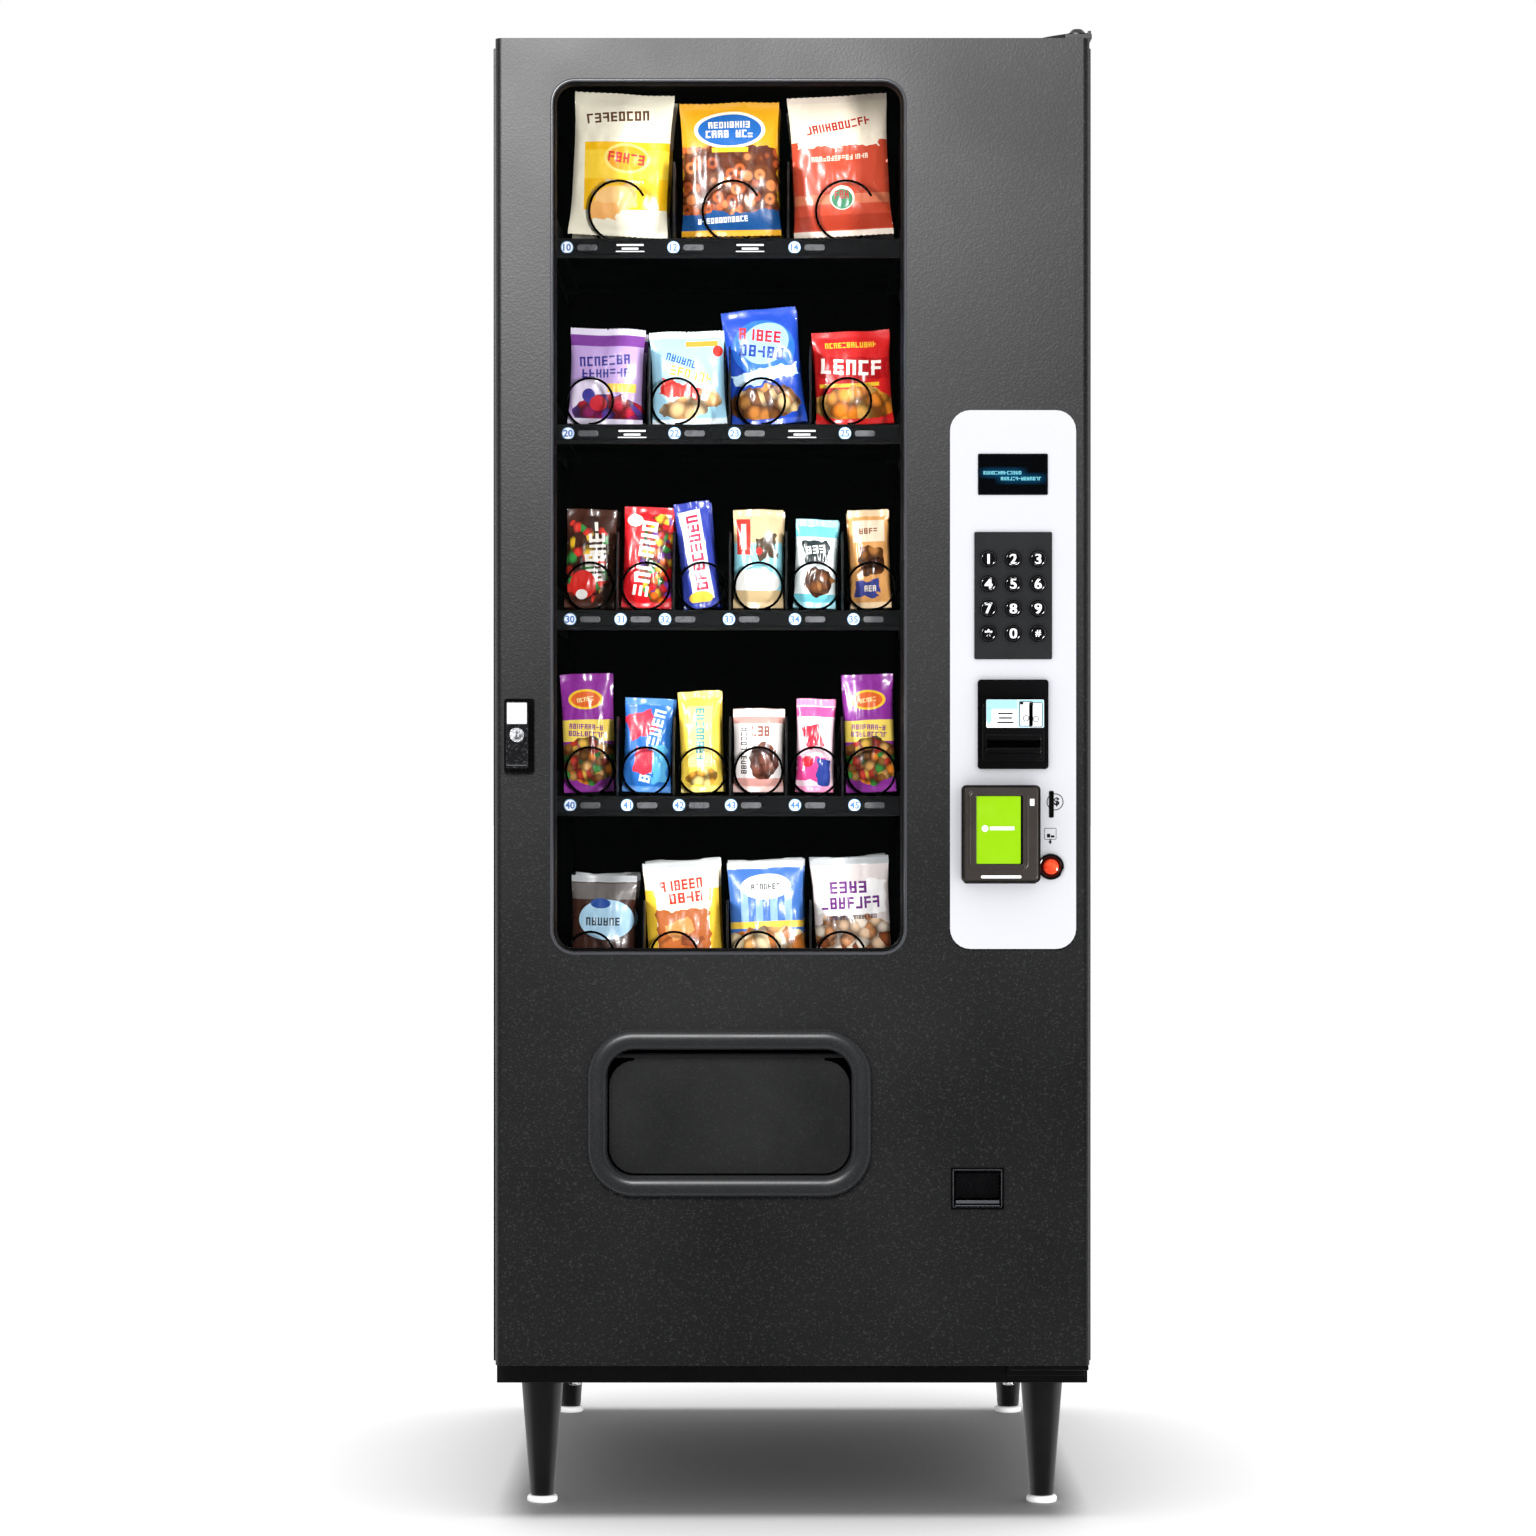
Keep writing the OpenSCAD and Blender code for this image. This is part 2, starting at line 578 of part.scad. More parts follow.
// Mechanism that sorts coins and pays change, behind the panel
module coin_changer() color("#4a4d52")
    block([200, door_back, 540], [325, door_back + 78, 900]);

module lock_housing() color("#0c0c0d") difference() {
    union() {
        slab([lock[0], lock[1], lock[2], lock[3], 3], face_y - 4, face_y);
        plain([lock[0] + 4.3, lock[1] - 4.3, lock[2] + 12.3, lock[3] - 12.3], face_y - 1, face_y + 28);
    }
    rod_y(lock_at, 11 + fit, face_y - 5, face_y + 25);
    rod_y(lock_at, 7, face_y + 20, face_y + 29);
}

// Bar handle on a barrel that slides and turns in the housing
module lock_handle() color("#1d1d1f") difference() {
    union() {
        slab([lock[0] + 3, lock[1] - 7.2, lock[2] + 5.5, lock[3] - 4, 3], face_y - 15, face_y - 4.6);
        rod_y(lock_at, 11, face_y - 5, face_y + 19);
    }
    rod_y(lock_at, 9.4 + fit, face_y - 16, face_y + 3);
    rod_y(lock_at, 6 + fit, face_y + 6, face_y + 20);
}

module lock_cylinder() color("#b9bcc0") difference() {
    rod_y(lock_at, 9.4, face_y - 15.5, face_y + 2.5);
    plain([lock_at[0] - 0.9, lock_at[0] + 0.9, lock_at[1] - 4, lock_at[1] + 4], face_y - 17, face_y - 6);
}

// Shaft that the handle turns, with the cam that hooks behind the strike
module latch_cam() color("#a6a9ad") union() {
    rod_y(lock_at, 6, face_y + 8, cam_y + 5);
    slab([lock_at[0] - 9, lock_at[0] + 9, lock_at[1] - 26, lock_at[1] + 9, 8.5], cam_y, cam_y + 6);
}

cabinet_shell();
product_liner();
base_frame();
legs();
leg_glides();
hex_bolts();
hinge_plates();
tray_pans();
tray_dividers();
selection_rails();
tray_runners();
spiral_motors();
fixed_spirals();
fixed_packs();
latch_strike();
cash_box();
control_box();
power_inlet();
color("#111112") spiral(0, 0, 12, 4);  // spiral_10
color("#111112") spiral(0, 1, 12, 4);  // spiral_12
color("#111112") spiral(0, 2, 12, 4);  // spiral_14
pack_row(0);  // packs_10
pack_row(1);  // packs_12
pack_row(2);  // packs_14
door_shell();
door_liner();
window_glass();
window_gasket();
delivery_bezel();
delivery_bin();
coin_cup();
control_panel();
display_lens();
keypad_plate();
bill_validator();
card_reader();
card_reader_mount();
coin_return_ring();
lock_housing();
coin_changer();
window_light();
door_gasket();
delivery_flap();
coin_flap();
coin_return_button();
for (n = [0:11])
    key(n);
latch_cam();
lock_handle();
lock_cylinder();
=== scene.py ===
"""Snack vending machine: its visible pieces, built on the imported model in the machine's own frame."""

import json
import logging
import math
from dataclasses import dataclass
from enum import Enum
from typing import Any, Iterable, Sequence

import bmesh
import bpy
from mathutils import Matrix, Vector, noise

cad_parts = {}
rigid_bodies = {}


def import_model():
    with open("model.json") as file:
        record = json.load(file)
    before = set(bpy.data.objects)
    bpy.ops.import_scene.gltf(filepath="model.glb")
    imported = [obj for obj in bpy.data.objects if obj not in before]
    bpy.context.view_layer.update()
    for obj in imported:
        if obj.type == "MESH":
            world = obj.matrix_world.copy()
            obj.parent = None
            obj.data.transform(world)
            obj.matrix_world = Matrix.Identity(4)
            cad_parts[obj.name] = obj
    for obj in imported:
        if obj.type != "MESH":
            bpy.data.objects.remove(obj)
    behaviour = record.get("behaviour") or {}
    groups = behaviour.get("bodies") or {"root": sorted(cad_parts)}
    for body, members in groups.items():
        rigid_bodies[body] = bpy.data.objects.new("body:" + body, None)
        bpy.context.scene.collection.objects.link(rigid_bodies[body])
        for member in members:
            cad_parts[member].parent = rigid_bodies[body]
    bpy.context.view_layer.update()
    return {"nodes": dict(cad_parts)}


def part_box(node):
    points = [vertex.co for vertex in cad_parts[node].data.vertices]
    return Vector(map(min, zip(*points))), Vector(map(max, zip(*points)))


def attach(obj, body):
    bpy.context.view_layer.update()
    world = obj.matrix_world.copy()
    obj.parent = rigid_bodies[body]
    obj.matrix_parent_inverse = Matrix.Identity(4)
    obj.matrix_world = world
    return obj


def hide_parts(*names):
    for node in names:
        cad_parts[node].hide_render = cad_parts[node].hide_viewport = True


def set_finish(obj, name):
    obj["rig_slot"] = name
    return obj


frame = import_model()
MM = 0.001
PER_METRE = 1000.0
COLOURS = {"data_type": "RGBA"}
# Faces that meet at more than this show a crisp edge.
SHARP = math.radians(48)
# Points of a CAD node nearer than this many millimetres are one, and faces flatter than this are one face.
WELD, FLAT = 0.002, math.radians(1.0)
LOG = logging.getLogger("vending_machine")
# Left, right, bottom, top and corner radius of an upright rounded rectangle.
Outline = tuple[float, float, float, float, float]


# ---- materials ----


def linear(colour: str, alpha: float = 1.0) -> tuple[float, float, float, float]:
    """Turns an sRGB hex colour into linear light.

    Args:
        colour: The colour as "#rrggbb".
        alpha: The fourth value.

    Returns:
        Red, green, blue and alpha.
    """
    parts = [int(colour[i : i + 2], 16) / 255 for i in (1, 3, 5)]
    return (*(c / 12.92 if c <= 0.04045 else ((c + 0.055) / 1.055) ** 2.4 for c in parts), alpha)


def add(tree: bpy.types.NodeTree, kind: str, settings: dict[str, Any] | None = None, **inputs: Any) -> Any:
    """Adds a node with its settings, values and links.

    Args:
        tree: The node tree.
        kind: The node's type, without "ShaderNode". A sum's operation follows a colon.
        settings: Properties of the node itself.
        inputs: Socket values or links, by socket name with _ for a space, or i0, i1 by place.

    Returns:
        The node's outputs.
    """
    kind, _, operation = kind.partition(":")
    made = tree.nodes.new("ShaderNode" + kind)
    if operation:
        made.operation = operation
    for name, value in (settings or {}).items():
        setattr(made, name, value)
    for name, value in inputs.items():
        by_place = name[0] == "i" and name[1:].isdigit()
        socket = made.inputs[int(name[1:]) if by_place else name.replace("_", " ")]
        if isinstance(value, bpy.types.NodeSocket):
            tree.links.new(value, socket)
        else:
            socket.default_value = value
    return made.outputs


@dataclass(frozen=True)
class Finish:
    """A surface: its colour, how it drifts over the piece, its grain, and highlights painted on the grain's peaks.

    The grain is a bump whose size and depth are the real ones in millimetres, coarsened where a comment says so.
    """

    name: str
    colour: str
    roughness: float
    metallic: float = 0.0
    drift_colour: str = ""
    drift_mm: float = 160.0
    drift_share: float = 0.4
    grain_mm: float = 1.5
    grain_depth_mm: float = 0.02
    grain_stretch: tuple[float, float, float] = (1.0, 1.0, 1.0)
    tips: float = 0.0
    tip_colour: str = "#8c8d92"
    rough_spread: float = 0.06
    coat: float = 0.0
    alpha: float = 1.0
    glow: float = 0.0

    def material(self) -> bpy.types.Material:
        """Builds the material, once.

        Returns:
            The material.
        """
        found = bpy.data.materials.get(self.name)
        if found:
            return found
        made = bpy.data.materials.new(self.name)
        made.use_nodes = True
        tree = made.node_tree
        shader = tree.nodes["Principled BSDF"]
        place = add(tree, "TexCoord")["Object"]
        turned = add(tree, "Mapping", Vector=place, Scale=tuple(1 / s for s in self.grain_stretch))[0]
        grain = add(tree, "TexNoise", Vector=turned, Scale=PER_METRE / self.grain_mm, Detail=2.0)[0]
        patches = add(tree, "TexNoise", Vector=place, Scale=PER_METRE / self.drift_mm, Detail=3.0)[0]
        share = add(tree, "MapRange", Value=patches, i1=0.35, i2=0.7, i3=0.0, i4=self.drift_share)[0]
        drift = linear(self.drift_colour or self.colour)
        base = add(tree, "Mix", COLOURS, i0=share, i6=linear(self.colour), i7=drift)[2]
        # Painted highlights: the grain's peaks are mixed towards a lighter colour, standing in for the glints the
        # pebbles catch.
        if self.tips:
            lit = add(tree, "MapRange", Value=grain, i1=0.56, i2=0.72, i3=0.0, i4=self.tips)[0]
            base = add(tree, "Mix", COLOURS, i0=lit, i6=base, i7=linear(self.tip_colour))[2]
        tree.links.new(self.printed(tree, place, base), shader.inputs["Base Color"])
        low, high = max(self.roughness - self.rough_spread, 0.02), min(self.roughness + self.rough_spread, 1.0)
        rough = add(tree, "MapRange", Value=patches, i1=0.3, i2=0.7, i3=low, i4=high)[0]
        tree.links.new(rough, shader.inputs["Roughness"])
        bump = add(tree, "Bump", Strength=0.8, Distance=self.grain_depth_mm * MM, Height=grain)
        tree.links.new(bump[0], shader.inputs["Normal"])
        shader.inputs["Metallic"].default_value = self.metallic
        shader.inputs["Coat Weight"].default_value = self.coat
        shader.inputs["Alpha"].default_value = self.alpha
        if self.glow:
            shader.inputs["Emission Color"].default_value = linear(self.colour)
            shader.inputs["Emission Strength"].default_value = self.glow
        return made

    def printed(self, tree: bpy.types.NodeTree, place: Any, base: Any) -> Any:
        """Lays any print over the base colour. Plain finishes have none."""
        return base


# Textured powder coat, sprayed and baked: a dry black skin, with the light its pebbles catch painted on their peaks as
# lighter flecks. The real pebbles are about 1 mm across; they are drawn at 2.6 mm, so that they show.
POWDER = Finish("powder_coated_steel", "#161719", 0.43, 0.0, "#1b1c1e", 320, 0.6, 2.6, 0.2, tips=0.3,
    tip_colour="#54555b")
# Gloss-free inner paint, brushed on by the maker's spray line: takes the light away behind the packs.
LINER = Finish("matt_black_paint", "#060607", 0.75, 0.0, "#0a0a0b", 200, 0.5, 3.0, 0.05)
# Satin stoving enamel on folded steel: smoother than the powder coat, with soft long highlights.
ENAMEL = Finish("satin_black_enamel", "#131315", 0.36, 0.0, "#1a1a1c", 140, 0.5, 2.2, 0.03)
# Leg casting under semi-gloss coat: slightly lighter, with a wide soft highlight.
LEG_COAT = Finish("coated_leg_casting", "#1f1f21", 0.4, 0.0, "#272729", 50, 0.5, 1.8, 0.05)
# Zinc plate on bolts: bright, a little cloudy.
ZINC = Finish("bright_zinc_plate", "#c4c6c9", 0.27, 1.0, "#a3a5a8", 22, 0.6, 1.2, 0.01)
# Hot-dip galvanised sheet: dull grey metal with large patchy crystals.
GALVANISED = Finish("galvanised_steel", "#8f9295", 0.42, 1.0, "#6f7275", 14, 0.8, 6.0, 0.03)
# Moulded white nylon glide: milky, soft sheen.
NYLON = Finish("moulded_white_nylon", "#e9e9ea", 0.4, 0.0, "#d6d5d2", 20, 0.5, 1.4, 0.02)
# Plastic-dipped spring wire: a thick black skin with a round wet highlight.
WIRE = Finish("plastic_dipped_wire", "#0b0b0c", 0.24, 0.0, "#121213", 30, 0.5, 3.0, 0.02, coat=0.4)
# Extruded black PVC: faint draw lines along its length.
EXTRUDED = Finish("extruded_black_pvc", "#2b2c2e", 0.33, 0.0, "#343537", 60, 0.5, 1.6, 0.02, (30, 1, 1))
# Front edge of a folded sheet, coloured light satin steel under thin paint as a painted highlight along the edge.
PLATE_EDGE_HIGHLIGHT = Finish("rubbed_steel_edge", "#77797c", 0.35, 0.7, "#2b2b2d", 26, 0.7, 2.0, 0.02)
# Extruded EPDM rubber: dull and dense, with a bloom on it.
RUBBER = Finish("extruded_epdm_rubber", "#0e0e0f", 0.62, 0.0, "#161617", 40, 0.5, 1.8, 0.03)
# Toughened float glass: almost unseen from the front, green-grey in its edge.
GLASS = Finish("toughened_float_glass", "#1b2422", 0.03, 0.0, alpha=0.06, rough_spread=0.01, grain_depth_mm=0.0)
# Moulded ABS with a spark-eroded grain: dark, evenly pebbled, with lighter flecks painted on the pebble peaks as
# highlights. Real pebbles are 0.6 mm; drawn at 2.2 mm.
GRAINED = Finish("grained_black_abs", "#1f2022", 0.42, 0.0, "#26272a", 120, 0.5, 2.2, 0.09, tips=0.22,
    tip_colour="#4b4c50")
# Same moulding on the ring, coloured lighter as a painted sheen: smoother, with a longer highlight and lighter flecks
# painted on the pebble peaks.
RING_SHEEN_COAT = Finish("buffed_black_abs", "#2a2b2e", 0.34, 0.0, "#313235", 120, 0.5, 2.2, 0.07, tips=0.2,
    tip_colour="#5b5c61")
# Polished black ABS: deep, with clear reflections.
GLOSS = Finish("polished_black_abs", "#0a0a0b", 0.12, 0.0, "#101012", 60, 0.5, 8.0, 0.01, coat=0.3)
# Semi-matt printed polycarbonate overlay: cool white, faintly orange-peeled.
OVERLAY = Finish("printed_white_polycarbonate", "#f4f5fb", 0.38, 0.0, "#eff1f8", 240, 0.5, 5.0, 0.01)
# Die-cast keypad plate with a fine crackle coat, with lighter flecks painted on its peaks as highlights.
CASTING = Finish("crackle_coated_casting", "#303134", 0.45, 0.0, "#38393c", 30, 0.5, 2.0, 0.08, tips=0.2,
    tip_colour="#4a4b50")
# Two-shot moulded keycaps: glossy, softly domed.
KEYCAP = Finish("moulded_keycap", "#0c0c0e", 0.14, 0.0, "#131316", 12, 0.5, 6.0, 0.01, coat=0.5)
# White second shot of a keycap, and the plain white printing ink.
WHITE = Finish("white_ink", "#f1f2f4", 0.4, 0.0, "#e6e7ea", 15, 0.4, 3.0, 0.01)
# Blue screen-printing ink.
BLUE = Finish("blue_ink", "#2a6db8", 0.4, 0.0, "#3a6cab", 8, 0.4, 3.0, 0.01)
# Thinner blue ink round the badges.
PALE_BLUE = Finish("pale_blue_rim_ink", "#7fa9d2", 0.4, 0.0, "#8ab2d8", 8, 0.4, 3.0, 0.01)
# Black screen-printing ink.
BLACK = Finish("black_ink", "#101012", 0.4, 0.0, "#18181a", 12, 0.4, 3.0, 0.01)
# Cast acrylic, deep orange-red, with a faint glow painted in as emission to brighten it.
ACRYLIC = Finish("orange_cast_acrylic", "#e2391c", 0.2, 0.0, "#ff6a3a", 6, 0.7, 4.0, 0.02, coat=0.6, glow=0.25)
# Brown-grey moulded polycarbonate of the card reader.
TAUPE = Finish("taupe_polycarbonate", "#35302d", 0.3, 0.0, "#3e3835", 40, 0.5, 1.8, 0.03)
# Electronics case, moulded and pad-printed.
CASE = Finish("grey_moulded_case", "#4d5157", 0.5, 0.0, "#575b61", 60, 0.5, 1.6, 0.05)
# Frosted lamp cover with the lamp behind it.
LAMP = Finish("frosted_lamp_cover", "#eef3f6", 0.5, 0.0, "#e2e9ee", 50, 0.4, 2.0, 0.02, glow=0.6)
# Brushed stainless plate, lines up and down.
STAINLESS = Finish("brushed_stainless", "#c9cbce", 0.26, 1.0, "#b1b3b7", 9, 0.6, 0.9, 0.02, (1, 1, 14))
# Lit screen: lime ground glowing evenly.
LIME = Finish("lit_lime_screen", "#84b806", 0.18, 0.0, "#8cc00c", 30, 0.5, 6.0, 0.0, coat=0.3, glow=0.12)
# Grey moulded price tab.
TAB = Finish("grey_price_tab", "#4a4b4e", 0.3, 0.0, "#56575a", 10, 0.5, 2.0, 0.02)


# ---- shapes ----


def corners(node: str) -> tuple[Vector, Vector]:
    """Returns the low and the high corner of a CAD node in millimetres."""
    low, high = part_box(node)
    return low * PER_METRE, high * PER_METRE


def stand(name: str, data: bpy.types.ID) -> bpy.types.Object:
    """Puts an object with the given data into the scene.

    Args:
        name: The object's name.
        data: Its mesh, light or camera.

    Returns:
        The object.
    """
    made = bpy.data.objects.new(name, data)
    bpy.context.scene.collection.objects.link(made)
    return made


class Form:
    """A mesh being built, in millimetres in the machine's frame."""

    def __init__(self) -> None:
        """Starts empty."""
        self.bm = bmesh.new()

    def add(self, other: "Form") -> "Form":
        """Joins another form's mesh to this one.

        Args:
            other: The form to join. It is used up.

        Returns:
            This form.
        """
        carried = bpy.data.meshes.new("carried")
        other.bm.to_mesh(carried)
        other.bm.free()
        self.bm.from_mesh(carried)
        bpy.data.meshes.remove(carried)
        return self

    def place(self, matrix: Matrix) -> "Form":
        """Transforms the whole form and returns it."""
        bmesh.ops.transform(self.bm, matrix=matrix, verts=self.bm.verts)
        return self

    def move(self, x: float, y: float, z: float) -> "Form":
        """Moves the whole form and returns it."""
        return self.place(Matrix.Translation((x, y, z)))

    def clean(self) -> "Form":
        """Merges doubles and turns the faces outwards.

        Returns:
            The form.
        """
        bmesh.ops.remove_doubles(self.bm, verts=self.bm.verts, dist=0.001)
        bmesh.ops.recalc_face_normals(self.bm, faces=self.bm.faces)
        return self

    def bevel(self, edges: Iterable[bmesh.types.BMEdge], width: float, segments: int = 2) -> "Form":
        """Rounds the given edges.

        Args:
            edges: The edges.
            width: How far the rounding reaches from each edge.
            segments: Faces across the rounding.

        Returns:
            The form.
        """
        bmesh.ops.bevel(self.bm, geom=list(edges), offset=width, offset_type="OFFSET", affect="EDGES",
            segments=segments, profile=0.5, clamp_overlap=True, material=-1)
        return self

    def soften(self, width: float, segments: int = 2, angle: float = 35.0) -> "Form":
        """Rounds every edge that is sharper than the angle.

        Args:
            width: How far the rounding reaches from the edge.
            segments: Faces across the rounding.
            angle: The sharpness in degrees from which an edge counts.

        Returns:
            The form.
        """
        limit = math.radians(angle)
        sharp = [e for e in self.bm.edges if len(e.link_faces) == 2 and e.calc_face_angle(0.0) > limit]
        return self.bevel(sharp, width, segments)

    def solid(self, name: str, finish: "Finish", body: str, slot: str,
        replaces: Sequence[str] = ()) -> bpy.types.Object:
        """Turns the form into a shown piece.

        Args:
            name: The piece's name.
            finish: Its surface.
            body: The body it rides on.
            slot: The record's material slot.
            replaces: The nodes that it stands for.

        Returns:
            The object, in metres, at the origin.
        """
        for face in self.bm.faces:
            face.smooth = True
        for edge in self.bm.edges:
            edge.smooth = len(edge.link_faces) != 2 or edge.calc_face_angle(0.0) < SHARP
        bmesh.ops.scale(self.bm, vec=(MM, MM, MM), verts=self.bm.verts)
        mesh = bpy.data.meshes.new(name)
        self.bm.to_mesh(mesh)
        self.bm.free()
        mesh.materials.append(finish.material())
        made = stand(name, mesh)
        flat = made.modifiers.new("flat_faces", "WEIGHTED_NORMAL")
        flat.keep_sharp = True
        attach(made, body)
        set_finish(made, slot)
        if replaces:
            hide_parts(*replaces)
        LOG.info("%s: %d faces, rides on %s", name, len(mesh.polygons), body)
        return made


def of_node(node: str, width: float = 0.0, segments: int = 2) -> Form:
    """Copies a CAD node, merges its loose triangles into whole faces and rounds its edges.

    Args:
        node: The CAD node.
        width: How far the rounding reaches, or nothing for none.
        segments: Faces across the rounding.

    Returns:
        The form.
    """
    form = Form()
    form.bm.from_mesh(frame["nodes"][node].data)
    bmesh.ops.scale(form.bm, vec=(PER_METRE, PER_METRE, PER_METRE), verts=form.bm.verts)
    bmesh.ops.remove_doubles(form.bm, verts=form.bm.verts, dist=WELD)
    bmesh.ops.dissolve_limit(form.bm, angle_limit=FLAT, verts=form.bm.verts, edges=form.bm.edges,
        use_dissolve_boundaries=False, delimit=set())
    return form.soften(width, segments) if width else form


def dressed(node: str, name: str, finish: Finish, body: str, slot: str, width: float, segments: int = 2) -> None:
    """Shows a CAD node as a piece with rounded edges.

    Args:
        node: The CAD node.
        name: The piece's name.
        finish: Its surface.
        body: The body it rides on.
        slot: The record's material slot.
        width: How far the rounding reaches.
        segments: Faces across the rounding.
    """
    of_node(node, width, segments).solid(name, finish, body, slot, [node])


def block(low: Sequence[float], high: Sequence[float], edge: float = 0.0, segments: int = 2) -> Form:
    """Makes a box between two corners with rounded edges.

    Args:
        low: Its left, front, bottom corner.
        high: The corner opposite.
        edge: How far the rounding reaches, or nothing for none.
        segments: Faces across the rounding.

    Returns:
        The form.
    """
    form = Form()
    size = Vector(high) - Vector(low)
    middle = (Vector(high) + Vector(low)) / 2
    bmesh.ops.create_cube(form.bm, size=1.0, matrix=Matrix.Translation(middle) @ Matrix.Diagonal((*size, 1.0)))
    return form.bevel(form.bm.edges, edge, segments) if edge else form


def blocks(*rows: tuple) -> Form:
    """Joins boxes into one form.

    Args:
        rows: Each box, as its low corner, its high corner, its edge and its segments.

    Returns:
        The form.
    """
    form = Form()
    for row in rows:
        form.add(block(*row))
    return form


def plate(outline: Outline, y0: float, y1: float, edge: float = 0.4, segments: int = 2) -> Form:
    """Makes an upright plate with a rounded-rectangle outline.

    Args:
        outline: Left, right, bottom, top and corner radius.
        y0: Its front.
        y1: Its back.
        edge: Rounding of the rim.
        segments: Faces across that rounding.

    Returns:
        The form.
    """
    x0, x1, z0, z1, radius = outline
    form = block((x0, y0, z0), (x1, y1, z1))
    corners = [e for e in form.bm.edges if abs(e.verts[0].co.y - e.verts[1].co.y) > 1e-6]
    form.bevel(corners, min(radius, (x1 - x0) / 2.02, (z1 - z0) / 2.02), 8)
    return form.soften(edge, segments, 60) if edge else form


def lathe(profile: Sequence[tuple[float, float]], centre: Sequence[float], steps: int = 40,
    upright: bool = False) -> Form:
    """Turns a profile round an axis through the centre.

    Args:
        profile: Radius and distance along the axis, point by point.
        centre: Where the axis starts.
        steps: Faces round the axis.
        upright: True for an axis along Z, otherwise it is along Y.

    Returns:
        The form.
    """
    form = Form()
    verts = [form.bm.verts.new((r, 0, a) if upright else (r, a, 0)) for r, a in profile]
    edges = [form.bm.edges.new(pair) for pair in zip(verts, verts[1:])]
    bmesh.ops.spin(form.bm, geom=verts + edges, cent=(0, 0, 0), axis=(0, 0, 1) if upright else (0, 1, 0),
        dvec=(0, 0, 0), angle=math.tau, steps=steps, use_merge=True, use_duplicate=False)
    return form.clean().move(*centre)


def frame_ring(section: Sequence[tuple[float, float]], outline: Outline, steps: int = 10) -> Form:
    """Carries a closed section round a rounded rectangle.

    Args:
        section: Distance outwards from the outline, and Y, point by point.
        outline: Left, right, bottom, top and corner radius.
        steps: Faces round each corner.

    Returns:
        The form.
    """
    x0, x1, z0, z1, r = outline
    form = Form()
    verts = [form.bm.verts.new((x1 + d, y, z0 + r)) for d, y in section]
    last: list[Any] = verts + [form.bm.edges.new(p) for p in zip(verts, verts[1:] + verts[:1])]
    wide, tall = x1 - x0 - 2 * r, z1 - z0 - 2 * r
    for step, centre in (((0, 0, tall), (x1 - r, 0, z1 - r)), ((-wide, 0, 0), (x0 + r, 0, z1 - r)),
        ((0, 0, -tall), (x0 + r, 0, z0 + r)), ((wide, 0, 0), (x1 - r, 0, z0 + r))):
        grown = bmesh.ops.extrude_edge_only(form.bm, edges=[g for g in last if isinstance(g, bmesh.types.BMEdge)])
        ends = {g for g in grown["geom"] if isinstance(g, bmesh.types.BMVert)}
        bmesh.ops.translate(form.bm, vec=step, verts=list(ends))
        rim = [g for g in grown["geom"] if isinstance(g, bmesh.types.BMEdge) and set(g.verts) <= ends]
        last = bmesh.ops.spin(form.bm, geom=list(ends) + rim, cent=centre, axis=(0, -1, 0), dvec=(0, 0, 0),
            angle=math.pi / 2, steps=steps)["geom_last"]
    return form.clean()


def flat(width: float, y0: float, y1: float) -> list[tuple[float, float]]:
    """Returns a flat ring's section from its width, its front and its back."""
    return [(0.0, y0), (width, y0), (width, y1), (0.0, y1)]


def coil(centre: Sequence[float], radius: float, wire: float, pitch: float, turns: float, start: float = 0.0) -> Form:
    """Winds a wire spiral backwards along +Y.

    Args:
        centre: Middle of the spiral at its front end.
        radius: From the middle to the wire's centre.
        wire: The wire's thickness.
        pitch: Distance between turns.
        turns: Turns counted from the bottom of the first one.
        start: The share of the first turn that is left off.

    Returns:
        The form.
    """
    form = Form()
    section = Matrix.Rotation(-start * math.tau, 4, "Y") @ Matrix.Translation((0, start * pitch,
        -radius)) @ Matrix.Rotation(math.pi / 2, 4, "Y")
    ring = bmesh.ops.create_circle(form.bm, cap_ends=False, segments=6, radius=wire / 2, matrix=section)["verts"]
    per_turn = 28
    steps = round((turns - start) * per_turn)
    bmesh.ops.spin(form.bm, geom=list(ring) + list(form.bm.edges), cent=(0, 0, 0), axis=(0, -1, 0),
        dvec=(0, pitch / per_turn, 0), angle=math.tau * steps / per_turn, steps=steps)
    bmesh.ops.holes_fill(form.bm, edges=[e for e in form.bm.edges if e.is_boundary], sides=0)
    bmesh.ops.recalc_face_normals(form.bm, faces=form.bm.faces)
    return form.move(*centre)


def lettering(words: str, size: float, x: float, y: float, z: float, depth: float = 0.15) -> Form:
    """Makes flat figures that face -Y.

    Args:
        words: The figures.
        size: The type's height.
        x: Their middle.
        y: Their front.
        z: Their middle height.
        depth: Their thickness.

    Returns:
        The form.
    """
    curve = bpy.data.curves.new("figures", "FONT")
    curve.body, curve.size, curve.extrude, curve.resolution_u = words, size, depth / 2, 3
    curve.align_x, curve.align_y = "CENTER", "CENTER"
    curve.offset = size * 0.03
    holder = bpy.data.objects.new("figures", curve)
    mesh = bpy.data.meshes.new_from_object(holder)
    form = Form()
    form.bm.from_mesh(mesh)
    bpy.data.objects.remove(holder)
    bpy.data.meshes.remove(mesh)
    bpy.data.curves.remove(curve)
    middle = [(min(v.co[i] for v in form.bm.verts) + max(v.co[i] for v in form.bm.verts)) / 2 for i in (0, 1)]
    form.move(-middle[0], -middle[1], 0).place(Matrix.Rotation(math.pi / 2, 4, "X"))
    return form.move(x, y + depth / 2, z)


# ---- packs ----


# Height of the crimped seals at a pack's two ends.
SEAL_LOW, SEAL_TOP = 8.0, 9.0


